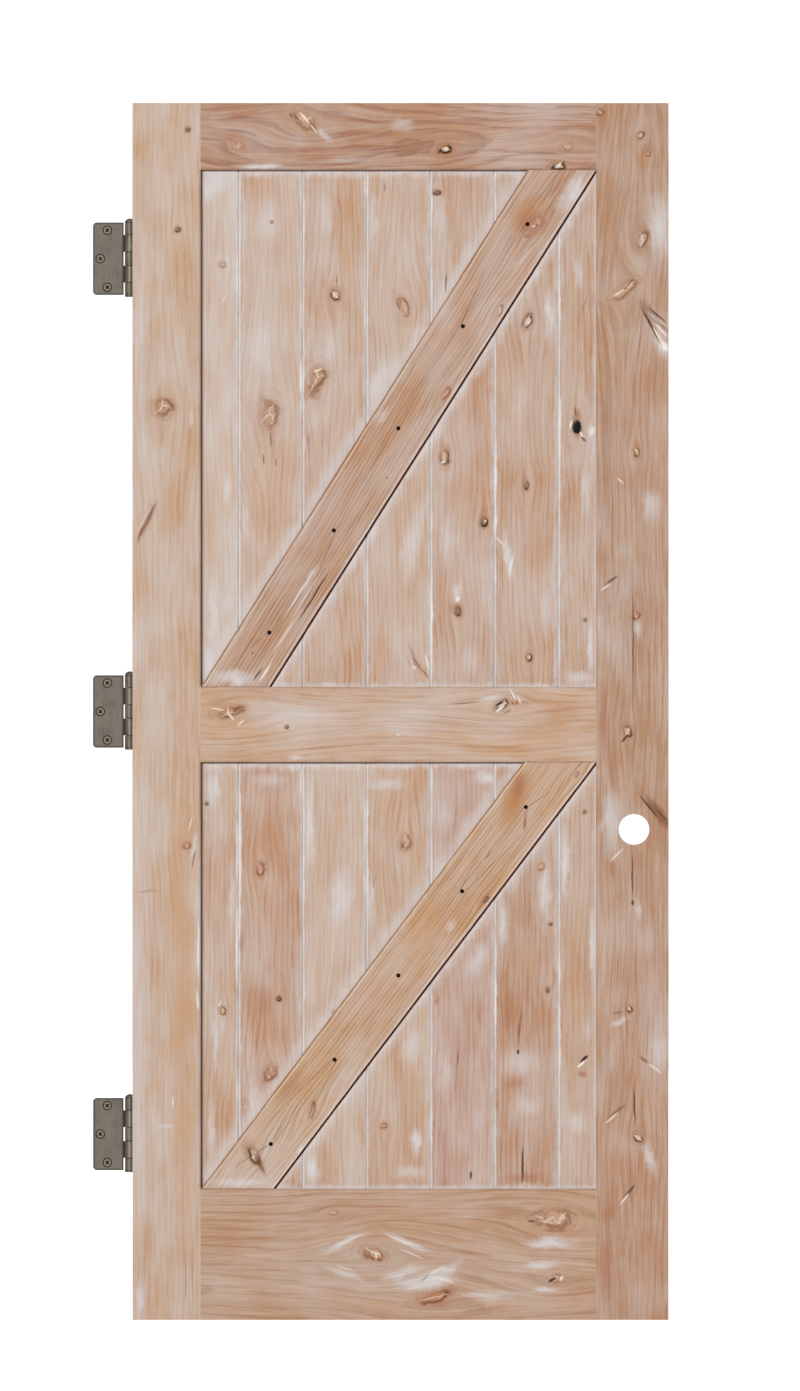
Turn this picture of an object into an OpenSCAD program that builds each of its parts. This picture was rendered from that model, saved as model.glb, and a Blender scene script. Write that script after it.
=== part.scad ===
// Braced plank door, one leaf, hung on three butt hinges.
// Front face towards -Y, hinge edge at -X, lock edge at +X. The origin is the
// centre of the bottom edge. All sizes are millimetres.

/* [Door leaf] */
// Width of the door leaf
door_w = 939.8; // [880:0.1:1070]
// Height of the door leaf
door_h = 2133.6; // [1980:0.1:2440]
// Thickness of stiles and rails
door_t = 44.45; // [40:0.05:57.15]
// Width of the stile that carries the hinges
hinge_stile_w = 119.5; // [100:0.5:150]
// Width of the stile that takes the lock
lock_stile_w = 127; // [105:0.5:150]
// Height of the top rail
top_rail_h = 117; // [90:1:160]
// Height of the lock rail
lock_rail_h = 132; // [100:1:200]
// Height of the lock rail's lower edge above the bottom of the door
lock_rail_z = 978; // [900:1:1100]
// Height of the bottom rail
bottom_rail_h = 230; // [180:1:300]
// Chamfer on the frame's edges around the panels
edge_ease = 2.4; // [0.5:0.1:4]

/* [Planks] */
// Thickness of the planks
plank_t = 19.05; // [15:0.05:24]
// Face width that each full plank covers
plank_cover = 112; // [90:0.5:120]
// Leg of the chamfer that makes each V joint
plank_v = 2.4; // [1:0.1:4]
// Gap between neighbouring planks at the joint
plank_gap = 0.4; // [0.2:0.1:1]
// Thickness of the tongue
tongue_t = 6; // [4:0.5:8]
// Length of the tongue
tongue_l = 6; // [4:0.5:10]
// Play around the tongue in its groove
tongue_play = 0.3; // [0.1:0.1:0.6]
// How far the planks reach into the frame's grooves
plank_inset = 11; // [6:0.5:15]
// Room left at the bottom of the frame's grooves
groove_room = 1.7; // [0.5:0.1:3]
// Play between plank and groove on each face
panel_play = 0.1; // [0.05:0.05:0.4]

/* [Braces] */
// Width of the diagonal braces
brace_w = 101.6; // [70:0.1:130]
// How far the brace's face lies below the frame's face
brace_set = 3.2; // [1:0.1:5]
// Gap between the brace and the rails and stiles
brace_gap = 0.3; // [0.1:0.1:1]
// Screws in each brace
brace_screws_n = 5; // [5]
// Diameter of the counterbore over each brace screw
counterbore_d = 7.4; // [6:0.1:10]
// Depth of the counterbore
counterbore_deep = 4.5; // [2:0.1:5]
// Head diameter of the brace screws
brace_head_d = 6.8; // [5:0.1:9]
// Head height of the brace screws
brace_head_h = 2.4; // [1.5:0.1:3]
// Shank diameter of the brace screws
brace_shank_d = 3.5; // [2.5:0.1:4.5]
// How far the brace screws reach into the planks
brace_screw_bite = 12; // [8:0.5:14]

/* [Dowels] */
// Diameter of the dowels that join rails to stiles
dowel_d = 12.7; // [8:0.1:16]
// Length of each dowel
dowel_l = 100; // [70:1:130]
// Room left at each end of a dowel
dowel_room = 1.5; // [0.5:0.1:3]
// Dowels at each end of the top rail
top_dowels = 2; // [2:1:3]
// Dowels at each end of the lock rail
lock_dowels = 2; // [2:1:3]
// Dowels at each end of the bottom rail
bottom_dowels = 3; // [2:1:4]

/* [Hinges] */
// Height of a hinge leaf
hinge_h = 127; // [100:0.5:150]
// Width of a hinge leaf, from the pin's axis to its far edge
leaf_w = 65; // [58:0.5:76]
// Thickness of a hinge leaf
leaf_t = 3.7; // [3:0.1:4.8]
// Corner radius of a hinge leaf
leaf_corner_r = 6.35; // [3:0.05:16]
// Distance from the pin's axis to the straight edge of a leaf
leaf_cutback = 11.4; // [10.5:0.1:13]
// Offset of the leaf towards the pin, pressed in when the knuckle is rolled
swage = 0.6; // [0.3:0.1:1.5]
// Diameter of the hinge pin
pin_d = 10.6; // [8:0.1:11]
// Height of the outer knuckles on the door leaf
end_knuckle_h = 21.5; // [16:0.1:24]
// Height of the knuckles on the jamb leaf
jamb_knuckle_h = 30; // [22:0.1:33]
// Gap between neighbouring knuckles
knuckle_gap = 0.3; // [0.2:0.05:0.6]
// Height of the neck between the barrel and the pin's head
pin_neck_h = 0.9; // [0.3:0.1:2]
// How far the neck lies inside the barrel's face
pin_neck_in = 1; // [0.5:0.1:2]
// Height of the straight rim of the pin's head
pin_rim_h = 1.2; // [0.5:0.1:3]
// Height of the dome on the pin's head
pin_dome_h = 4.9; // [2:0.1:6]
// Height of the tip that closes the barrel's lower end
tip_h = 3.6; // [3:0.1:7]
// Chamfer on the tip's lower edge
tip_chamfer = 1.2; // [0.5:0.1:2.5]
// Length of the tip's plug inside the barrel
tip_plug_l = 8; // [5:0.5:12]
// Distance from the front face of the door to the leaf's edge
hinge_backset = 6; // [4:0.1:10]
// Distance from the top of the door to the middle of the top hinge
top_hinge_drop = 272; // [180:1:320]
// Height of the middle of the bottom hinge
bottom_hinge_rise = 325; // [250:1:380]

/* [Hinge screws] */
// Diameter of the countersink at the leaf's face
countersink_d = 14.6; // [12:0.1:16]
// Depth of the countersink
countersink_deep = 3.2; // [2.4:0.1:3.5]
// Diameter of the hole behind the countersink
leaf_hole_d = 6.2; // [5.6:0.1:8]
// Head diameter of the hinge screws
screw_head_d = 13; // [11:0.1:14]
// Shank diameter of the hinge screws
screw_shank_d = 5.4; // [4:0.1:5.6]
// Length of the hinge screws
screw_l = 32; // [25:0.5:45]
// Length of the screw's point
screw_point_l = 7; // [4:0.5:10]
// Width across the cross recess
recess_w = 7.4; // [5:0.1:9]
// Width of one slot of the cross recess
recess_slot = 1.7; // [1:0.1:2.5]
// Depth of the cross recess
recess_deep = 2; // [1:0.1:2.4]
// Distance of the outer screws from the pin's axis
outer_screw_s = 40; // [34:0.5:46]
// Distance of the middle screw from the pin's axis
middle_screw_s = 52.3; // [46:0.1:56]
// Distance of the outer screws from the leaf's upper and lower ends
screw_end_margin = 13.5; // [9:0.1:20]

/* [Lock bores] */
// Diameter of the cross bore for the lock
cross_bore_d = 53.98; // [50:0.01:57]
// Distance from the lock edge to the cross bore's axis
backset = 60.3; // [57:0.1:70]
// Height of the cross bore's axis
bore_z = 860; // [820:1:960]
// Diameter of the latch bore in the door's edge
latch_bore_d = 25.4; // [22:0.1:26]
// Height of the recess for the latch's face plate
face_plate_h = 57.15; // [50:0.05:70]
// Width of the recess for the latch's face plate
face_plate_w = 25.4; // [24:0.1:30]
// Depth of the recess for the latch's face plate
face_plate_deep = 3; // [1.5:0.1:4]
// Corner radius of the recess for the latch's face plate
face_plate_r = 6.35; // [2:0.05:10]

/* [Hidden] */
$fn = 64;
// Running clearance of the pin in its knuckles, on the radius
pin_play = 0.05;
// Glue line around dowels and play around screws in the wood, on the radius
wood_play = 0.05;
// Play around a hinge leaf in its recess
gain_play = 0.15;
// Lift of a screw head off its countersink
seat_play = 0.05;
// How far cuts run past the face that they break through
overrun = 1;
// Where the end screws of a brace sit, as a share of the panel's height
brace_screw_end_share = 0.105;
// Narrowest edge plank that is fitted, as a share of a full plank's cover
edge_plank_min_share = 0.35;

wood_frame_colour = "#c7a488";
wood_plank_colour = "#d3bcab";
wood_brace_colour = "#bf9a7d";
wood_dowel_colour = "#d9c3a0";
bronze_colour = "#787062";
screw_colour = "#8f866f";
black_colour = "#1c1a18";

// Faces of the door leaf
x_hinge = -door_w / 2;
x_lock = door_w / 2;
y_front = -door_t / 2;
y_back = door_t / 2;

// Panel openings
open_x0 = x_hinge + hinge_stile_w;
open_x1 = x_lock - lock_stile_w;
open_w = open_x1 - open_x0;
open_mid = (open_x0 + open_x1) / 2;
lower_z = [bottom_rail_h, lock_rail_z];
upper_z = [lock_rail_z + lock_rail_h, door_h - top_rail_h];
openings = [lower_z, upper_z];

// Grooves that hold the planks, and as many full planks as leave room for an edge plank on each side
groove_deep = plank_inset + groove_room;
groove_w = plank_t + 2 * panel_play;
edge_plank_min_w = edge_plank_min_share * plank_cover;
full_planks = floor((open_w - 2 * edge_plank_min_w) / plank_cover);
planks_n = full_planks + 2;

// Braces
brace_y = -plank_t / 2;
brace_t = door_t / 2 - plank_t / 2 - brace_set;
brace_shank_l = brace_t - counterbore_deep + brace_screw_bite;

// Hinge barrel and where it stands
bore_r = pin_d / 2 + pin_play;
barrel_r = bore_r + leaf_t;
leaf_in = bore_r - swage;
pin_x = x_hinge - leaf_in;
pin_y = y_front + hinge_backset + leaf_w;
mid_knuckle_h = hinge_h - 2 * end_knuckle_h - 2 * jamb_knuckle_h;
hinge_zs = [door_h - top_hinge_drop, door_h / 2, bottom_hinge_rise];

// Knuckle bands as [bottom, top] about the hinge's middle
jamb_knuckles = [
    for (side = [-1, 1])
        let (middle = side * (mid_knuckle_h + jamb_knuckle_h) / 2)
            [middle - jamb_knuckle_h / 2, middle + jamb_knuckle_h / 2]
];
door_knuckles = [
    [-hinge_h / 2, -hinge_h / 2 + end_knuckle_h],
    [-mid_knuckle_h / 2, mid_knuckle_h / 2],
    [hinge_h / 2 - end_knuckle_h, hinge_h / 2]
];

// Hinge screws
outer_screw_z = hinge_h / 2 - screw_end_margin;
screw_places = [
    [outer_screw_s, outer_screw_z],
    [middle_screw_s, 0],
    [outer_screw_s, -outer_screw_z]
];
countersink_slope = (countersink_d - leaf_hole_d) / 2 / countersink_deep;
head_sink = (countersink_d - screw_head_d) / 2 / countersink_slope - seat_play;
screw_head_h = (screw_head_d - screw_shank_d) / 2 / countersink_slope;

// Lock bores
bore_x = x_lock - backset;

HINGES = ["top", "middle", "bottom"];
PANELS = ["lower", "upper"];
RAILS = ["top", "lock", "bottom"];

// A box between two corners
module box(low, high) {
    translate(low) cube(high - low);
}

// Wedge that chamfers an edge: the edge runs along Z from 0, the solid lies towards +X and +Y
module ease_wedge(length) {
    reach = edge_ease + overrun;
    linear_extrude(length)
        polygon([[-overrun, -overrun], [reach, -overrun], [-overrun, reach]]);
}

// Chamfers of a stile's two inner edges along one panel; side is +1 where the stile lies towards +X
module stile_eases(x, side, z) {
    for (face = [-1, 1])
        translate([x, face * door_t / 2, z[0]])
            scale([side, -face, 1])
                ease_wedge(z[1] - z[0]);
}

// Chamfers of a rail's two edges at height z; side is +1 where the rail lies above the edge
module rail_eases(z, side) {
    for (face = [-1, 1])
        translate([open_x0, face * door_t / 2, z])
            scale([1, -face, side])
                rotate([90, 0, 90])
                    mirror([1, -1, 0])
                        ease_wedge(open_w);
}

// Groove for the planks in a stile's inner edge; side is +1 where the stile lies towards +X
module stile_groove(x, side, z) {
    depth = side * groove_deep;
    proud = -side * overrun;
    box([min(x + depth, x + proud), -groove_w / 2, z[0] - groove_deep],
        [max(x + depth, x + proud), groove_w / 2, z[1] + groove_deep]);
}

// Groove for the planks along a rail's edge; side is +1 where the rail lies above the edge
module rail_groove(z, side) {
    depth = side * groove_deep;
    proud = -side * overrun;
    box([open_x0 - overrun, -groove_w / 2, min(z + depth, z + proud)],
        [open_x1 + overrun, groove_w / 2, max(z + depth, z + proud)]);
}

// Heights of the dowels in a rail whose solid part spans z
function dowel_zs(z, count) = [for (k = [0 : count - 1]) z[0] + (k + 0.5) / count * (z[1] - z[0])];
top_dowel_zs = dowel_zs([upper_z[1] + groove_deep, door_h], top_dowels);
lock_dowel_zs = dowel_zs([lower_z[1] + groove_deep, upper_z[0] - groove_deep], lock_dowels);
bottom_dowel_zs = dowel_zs([0, lower_z[0] - groove_deep], bottom_dowels);

// Cylinders along X across both joints of a rail
module dowel_row(zs, radius, length) {
    for (x = [open_x0, open_x1], z = zs)
        translate([x - length / 2, 0, z])
            rotate([0, 90, 0])
                cylinder(h = length, r = radius);
}

module dowels(zs) {
    color(wood_dowel_colour) dowel_row(zs, dowel_d / 2, dowel_l);
}

module dowel_holes(zs) {
    dowel_row(zs, dowel_d / 2 + wood_play, dowel_l + 2 * dowel_room);
}

// Outline of a plate in the plane of X and Y, from x0 to x1, with both corners at x1 rounded
module rounded_tongue(x0, x1, h, r) {
    translate([x0, -h / 2]) square([x1 - r - x0, h]);
    translate([x0, -h / 2 + r]) square([x1 - x0, h - 2 * r]);
    for (side = [-1, 1])
        translate([x1 - r, side * (h / 2 - r)]) circle(r);
}

// Places children at each screw of a leaf, with +Z along the screw, out of the leaf's inner face
module at_leaf_screws() {
    for (place = screw_places)
        translate([place[0], -leaf_in, place[1]])
            rotate([-90, 0, 0])
                children();
}

// Turns a jamb leaf's pieces from the leaf's own frame to where they stand. In that frame the
// pin is the Z axis, the leaf lies along +X and its inner face looks towards +Y.
module jamb_side(z) {
    translate([pin_x, pin_y, z]) rotate([0, 0, 180]) children();
}

// The same for a door leaf, which is the mirror image, a quarter turn further round the pin
module door_side(z) {
    translate([pin_x, pin_y, z]) rotate([0, 0, -90]) mirror([0, 1, 0]) children();
}

// One hinge leaf with its knuckles, in its own frame
module hinge_leaf(knuckles) {
    difference() {
        union() {
            translate([0, -leaf_in, 0])
                rotate([90, 0, 0])
                    linear_extrude(leaf_t)
                        rounded_tongue(leaf_cutback, leaf_w, hinge_h, leaf_corner_r);
            for (band = knuckles) {
                low = band[0] + (band[0] > -hinge_h / 2 ? knuckle_gap / 2 : 0);
                high = band[1] - (band[1] < hinge_h / 2 ? knuckle_gap / 2 : 0);
                translate([0, 0, low]) cylinder(h = high - low, r = barrel_r);
                box([0, -leaf_in - leaf_t, low], [leaf_cutback + leaf_t, -leaf_in, high]);
            }
        }
        translate([0, 0, -hinge_h / 2 - overrun])
            cylinder(h = hinge_h + 2 * overrun, r = bore_r);
        at_leaf_screws() {
            translate([0, 0, -countersink_deep])
                cylinder(
                    h = countersink_deep + overrun,
                    r1 = leaf_hole_d / 2,
                    r2 = countersink_d / 2 + overrun * countersink_slope
                );
            translate([0, 0, -leaf_t - overrun])
                cylinder(h = leaf_t + overrun, r = leaf_hole_d / 2);
        }
    }
}

// A flat-head wood screw with a cross recess: the head's face at Z = 0, the point downwards
module wood_screw() {
    shank_end = -screw_l + screw_point_l;
    difference() {
        union() {
            translate([0, 0, -screw_head_h])
                cylinder(h = screw_head_h, r1 = screw_shank_d / 2, r2 = screw_head_d / 2);
            translate([0, 0, shank_end])
                cylinder(h = -screw_head_h - shank_end, r = screw_shank_d / 2);
            translate([0, 0, -screw_l])
                cylinder(h = screw_point_l, r1 = 0, r2 = screw_shank_d / 2);
        }
        for (turn = [45, 135])
            rotate([0, 0, turn])
                translate([-recess_w / 2, -recess_slot / 2, -recess_deep])
                    cube([recess_w, recess_slot, recess_deep + overrun]);
    }
}

module leaf_screws() {
    color(screw_colour)
        at_leaf_screws()
            translate([0, 0, -head_sink])
                wood_screw();
}

// Recess in the hinge edge for one door leaf, with the pilot holes of its screws
module hinge_gain(z) {
    door_side(z) {
        translate([0, -leaf_in + overrun, 0])
            rotate([90, 0, 0])
                linear_extrude(leaf_t + overrun)
                    rounded_tongue(
                        leaf_cutback - overrun,
                        leaf_w + gain_play,
                        hinge_h + 2 * gain_play,
                        leaf_corner_r + gain_play
                    );
        at_leaf_screws()
            translate([0, 0, -screw_l - dowel_room])
                cylinder(h = screw_l, r = screw_shank_d / 2 + wood_play);
    }
}

module hinge_stile() {
    color(wood_frame_colour)
        difference() {
            box([x_hinge, y_front, 0], [open_x0, y_back, door_h]);
            for (z = openings) {
                stile_groove(open_x0, -1, z);
                stile_eases(open_x0, -1, z);
            }
            for (zs = [top_dowel_zs, lock_dowel_zs, bottom_dowel_zs]) dowel_holes(zs);
            for (z = hinge_zs) hinge_gain(z);
        }
}

// Cross bore through the faces, latch bore through the edge and the recess for its face plate
module lock_bores() {
    translate([bore_x, y_front - overrun, bore_z])
        rotate([-90, 0, 0])
            cylinder(h = door_t + 2 * overrun, r = cross_bore_d / 2);
    translate([bore_x, 0, bore_z])
        rotate([0, 90, 0])
            cylinder(h = backset + overrun, r = latch_bore_d / 2);
    translate([x_lock - face_plate_deep, 0, bore_z])
        rotate([0, 90, 0])
            linear_extrude(face_plate_deep + overrun)
                for (side = [0, 180])
                    rotate(side)
                        rounded_tongue(0, face_plate_h / 2, face_plate_w, face_plate_r);
}

module lock_stile() {
    color(wood_frame_colour)
        difference() {
            box([open_x1, y_front, 0], [x_lock, y_back, door_h]);
            for (z = openings) {
                stile_groove(open_x1, 1, z);
                stile_eases(open_x1, 1, z);
            }
            for (zs = [top_dowel_zs, lock_dowel_zs, bottom_dowel_zs]) dowel_holes(zs);
            lock_bores();
        }
}

module top_rail() {
    color(wood_frame_colour)
        difference() {
            box([open_x0, y_front, upper_z[1]], [open_x1, y_back, door_h]);
            rail_groove(upper_z[1], 1);
            rail_eases(upper_z[1], 1);
            dowel_holes(top_dowel_zs);
        }
}

module lock_rail() {
    color(wood_frame_colour)
        difference() {
            box([open_x0, y_front, lower_z[1]], [open_x1, y_back, upper_z[0]]);
            rail_groove(lower_z[1], 1);
            rail_eases(lower_z[1], 1);
            rail_groove(upper_z[0], -1);
            rail_eases(upper_z[0], -1);
            dowel_holes(lock_dowel_zs);
        }
}

module bottom_rail() {
    color(wood_frame_colour)
        difference() {
            box([open_x0, y_front, 0], [open_x1, y_back, lower_z[0]]);
            rail_groove(lower_z[0], -1);
            rail_eases(lower_z[0], -1);
            dowel_holes(bottom_dowel_zs);
        }
}

// Joint faces of plank i, from 1 at the hinge side; the edge planks end inside the stiles
function joint_x(i) = open_mid + (i - planks_n / 2) * plank_cover;
function plank_left(i) = i == 1 ? open_x0 - plank_inset : joint_x(i - 1) + plank_gap / 2;
function plank_right(i) = i == planks_n ? open_x1 + plank_inset : joint_x(i) - plank_gap / 2;

// Right and left ends of a plank's section, each as points running round the outline
function square_end(x, turn) = [[x, -turn * plank_t / 2], [x, turn * plank_t / 2]];
function tongue_end(x) =
    let (face = plank_t / 2, half = tongue_t / 2)
        [
            [x - plank_v, -face], [x, plank_v - face], [x, -half], [x + tongue_l, -half],
            [x + tongue_l, half], [x, half], [x, face - plank_v], [x - plank_v, face]
        ];
function groove_end(x) =
    let (
        face = plank_t / 2,
        half = tongue_t / 2 + tongue_play,
        inner = x + tongue_l + tongue_play
    )
        [
            [x + plank_v, face], [x, face - plank_v], [x, half], [inner, half],
            [inner, -half], [x, -half], [x, plank_v - face], [x + plank_v, -face]
        ];

module plank(i, z) {
    right = plank_right(i);
    left = plank_left(i);
    outline = concat(
        i == planks_n ? square_end(right, 1) : tongue_end(right),
        i == 1 ? square_end(left, -1) : groove_end(left)
    );
    color(wood_plank_colour)
        difference() {
            translate([0, 0, z[0] - plank_inset])
                linear_extrude(z[1] - z[0] + 2 * plank_inset)
                    polygon(outline);
            at_brace_screws(z)
                translate([0, 0, -brace_t - brace_screw_bite - wood_play])
                    cylinder(h = brace_screw_bite + brace_t, r = brace_shank_d / 2 + wood_play);
        }
}

// Lean of a brace from upright, so that a board of its width runs from corner to corner of a panel
function brace_lean(z) =
    let (w = open_w - 2 * brace_gap, h = z[1] - z[0] - 2 * brace_gap)
        acos(brace_w / norm([w, h])) - atan2(h, w);

// Places children at each brace screw of a panel, with +Z out of the brace's face
module at_brace_screws(z) {
    h = z[1] - z[0];
    pitch_share = (1 - 2 * brace_screw_end_share) / (brace_screws_n - 1);
    for (k = [0 : brace_screws_n - 1]) {
        share = brace_screw_end_share + k * pitch_share;
        translate([
            open_mid + (share - 0.5) * h * tan(brace_lean(z)),
            brace_y - brace_t,
            z[0] + share * h
        ])
            rotate([90, 0, 0])
                children();
    }
}

module brace(z) {
    foot_w = brace_w / cos(brace_lean(z));
    left = open_x0 + brace_gap;
    right = open_x1 - brace_gap;
    low = z[0] + brace_gap;
    high = z[1] - brace_gap;
    color(wood_brace_colour)
        difference() {
            translate([0, brace_y, 0])
                rotate([90, 0, 0])
                    linear_extrude(brace_t)
                        polygon([[left, low], [left + foot_w, low], [right, high], [right - foot_w, high]]);
            at_brace_screws(z) {
                translate([0, 0, -counterbore_deep])
                    cylinder(h = counterbore_deep + overrun, r = counterbore_d / 2);
                translate([0, 0, -brace_t - overrun])
                    cylinder(h = brace_t + overrun, r = brace_shank_d / 2 + wood_play);
            }
        }
}

// Black trim screws, seated at the bottom of their counterbores
module brace_screws(z) {
    color(black_colour)
        at_brace_screws(z)
            translate([0, 0, -counterbore_deep]) {
                cylinder(h = brace_head_h, r = brace_head_d / 2);
                translate([0, 0, -brace_shank_l])
                    cylinder(h = brace_shank_l, r = brace_shank_d / 2);
            }
}

module jamb_leaf(z) {
    color(bronze_colour) jamb_side(z) hinge_leaf(jamb_knuckles);
}

module door_leaf(z) {
    color(bronze_colour) door_side(z) hinge_leaf(door_knuckles);
}

module jamb_screws(z) {
    jamb_side(z) leaf_screws();
}

module door_screws(z) {
    door_side(z) leaf_screws();
}

// Pin with a domed head that rests on the top knuckle
module hinge_pin(z) {
    rod_end = -hinge_h / 2 + tip_plug_l + knuckle_gap;
    head_z = hinge_h / 2 + pin_neck_h;
    dome_r = (pow(barrel_r, 2) + pow(pin_dome_h, 2)) / 2 / pin_dome_h;
    color(bronze_colour)
        translate([pin_x, pin_y, z]) {
            translate([0, 0, rod_end]) cylinder(h = hinge_h / 2 - rod_end, r = pin_d / 2);
            translate([0, 0, hinge_h / 2]) cylinder(h = pin_neck_h, r = barrel_r - pin_neck_in);
            translate([0, 0, head_z]) cylinder(h = pin_rim_h, r = barrel_r);
            translate([0, 0, head_z + pin_rim_h])
                intersection() {
                    translate([0, 0, pin_dome_h - dome_r]) sphere(dome_r);
                    cylinder(h = pin_dome_h, r = barrel_r);
                }
        }
}

// Tip that plugs the lower end of the barrel
module hinge_tip(z) {
    color(bronze_colour)
        translate([pin_x, pin_y, z - hinge_h / 2]) {
            cylinder(h = tip_plug_l, r = pin_d / 2);
            translate([0, 0, tip_chamfer - tip_h])
                cylinder(h = tip_h - tip_chamfer, r = barrel_r);
            translate([0, 0, -tip_h])
                cylinder(h = tip_chamfer, r1 = barrel_r - tip_chamfer, r2 = barrel_r);
        }
}

hinge_stile();
lock_stile();
top_rail();
lock_rail();
bottom_rail();
for (p = [0 : 1], i = [1 : planks_n])
    plank(i, openings[p]);
for (p = [0 : 1]) {
    brace(openings[p]);
    brace_screws(openings[p]);
}
dowels(top_dowel_zs);  // top_rail_dowels
dowels(lock_dowel_zs);  // lock_rail_dowels
dowels(bottom_dowel_zs);  // bottom_rail_dowels
for (h = [0 : len(HINGES) - 1]) {
    jamb_leaf(hinge_zs[h]);
    door_leaf(hinge_zs[h]);
    hinge_pin(hinge_zs[h]);
    hinge_tip(hinge_zs[h]);
    jamb_screws(hinge_zs[h]);
    door_screws(hinge_zs[h]);
}
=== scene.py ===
import math

import bmesh
import bpy
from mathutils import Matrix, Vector


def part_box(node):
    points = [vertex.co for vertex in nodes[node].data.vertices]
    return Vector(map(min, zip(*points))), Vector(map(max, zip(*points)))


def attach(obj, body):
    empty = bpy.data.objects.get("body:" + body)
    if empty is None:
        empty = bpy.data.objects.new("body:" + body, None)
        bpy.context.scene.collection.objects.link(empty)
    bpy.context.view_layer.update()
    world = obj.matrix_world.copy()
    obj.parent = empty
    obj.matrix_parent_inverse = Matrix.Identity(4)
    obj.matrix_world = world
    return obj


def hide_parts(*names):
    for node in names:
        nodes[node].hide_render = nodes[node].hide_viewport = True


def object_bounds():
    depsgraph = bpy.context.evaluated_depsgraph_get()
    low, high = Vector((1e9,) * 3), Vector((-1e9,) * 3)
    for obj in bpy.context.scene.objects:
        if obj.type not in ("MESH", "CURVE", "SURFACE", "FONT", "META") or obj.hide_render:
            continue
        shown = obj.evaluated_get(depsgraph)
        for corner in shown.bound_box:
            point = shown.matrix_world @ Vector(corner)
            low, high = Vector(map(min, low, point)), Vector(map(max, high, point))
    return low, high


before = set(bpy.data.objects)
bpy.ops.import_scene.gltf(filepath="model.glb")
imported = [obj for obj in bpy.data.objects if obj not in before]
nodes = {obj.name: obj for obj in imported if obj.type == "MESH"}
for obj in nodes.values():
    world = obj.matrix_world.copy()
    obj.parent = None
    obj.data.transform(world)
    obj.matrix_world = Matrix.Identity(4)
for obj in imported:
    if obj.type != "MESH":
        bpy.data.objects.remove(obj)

cad_low, cad_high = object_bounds()

# Hinge stile: the upright that carries the hinges, a solid knotty alder board 44 mm thick.
# Planed, whitewashed and sanded back, so chalk stays in the low grain and the tan wood shows
# on the ridges. It is dowelled to the rails and recessed on its edge for the hinge leaves.


def linear(hex_colour):
    """An sRGB hex colour as the linear RGBA that shader sockets take."""
    parts = [int(hex_colour[i : i + 2], 16) / 255 for i in (1, 3, 5)]
    return [p / 12.92 if p <= 0.04045 else ((p + 0.055) / 1.055) ** 2.4 for p in parts] + [1.0]


def add(tree, kind, feeds=None, out=0, **settings):
    """One node with its settings; each feed is a socket to link from or a value to hold."""
    node = tree.nodes.new(kind if kind == "NodeGroupOutput" else "ShaderNode" + kind)
    for name, value in settings.items():
        setattr(node, name, value)
    for socket, value in (feeds or {}).items():
        if isinstance(value, bpy.types.NodeSocket):
            tree.links.new(value, node.inputs[socket])
        else:
            node.inputs[socket].default_value = value
    return node.outputs[out] if node.outputs else node


def finishing_step(name, takes, gives):
    """An empty shader group with the sockets that it takes and gives, and its inner sockets."""
    group = bpy.data.node_groups.new(name, "ShaderNodeTree")
    for side, sockets in (("INPUT", takes), ("OUTPUT", gives)):
        for label, kind in sockets.items():
            group.interface.new_socket(label, in_out=side, socket_type="NodeSocket" + kind)
    return group, group.nodes.new("NodeGroupInput").outputs


# The first and the second direction on a board's face
ON_X, ON_Y = (1.0, 0.0, 0.0), (0.0, 1.0, 0.0)


def grain_round_knot():
    """Pushes the grain lines of a board apart, so that they flow round a knot."""
    takes = {"Across": "Float", "Place": "Vector", "Centre": "Vector", "Reach": "Vector", "Pull": "Float"}
    g, given = finishing_step("grain round a knot", takes, {"Across": "Float"})
    away = add(g, "VectorMath", {0: given["Place"], 1: given["Centre"]}, operation="SUBTRACT")
    reach = add(g, "VectorMath", {0: away, 1: given["Reach"]}, operation="DIVIDE")
    square = add(g, "VectorMath", {0: reach, 1: reach}, out="Value", operation="DOT_PRODUCT")
    fall = add(g, "Math", {0: square, 1: 1.0}, operation="ADD")
    side = add(g, "VectorMath", {0: away, 1: ON_X}, out="Value", operation="DOT_PRODUCT")
    push = add(g, "Math", {0: side, 1: given["Pull"]}, operation="MULTIPLY")
    push = add(g, "Math", {0: push, 1: fall}, operation="DIVIDE")
    moved = add(g, "Math", {0: given["Across"], 1: push}, operation="SUBTRACT")
    add(g, "NodeGroupOutput", {"Across": moved})
    return g


# Each seed cuts a board from another stretch of the log, so many millimetres on
SEED_STEP = (53.0, 911.0, 29.0)
# Square millimetres that round off the tips of the arches, and millimetres that streaks bend a ring
ARCH_TIP, RING_WAVER = 300.0, 4.0
PINK_ALDER = "#C6987C"


def repeat(across, along):
    """A pattern's scale from its width across the grain and its length along it, in millimetres."""
    return 1 / across, 1 / along, 1 / across


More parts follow.
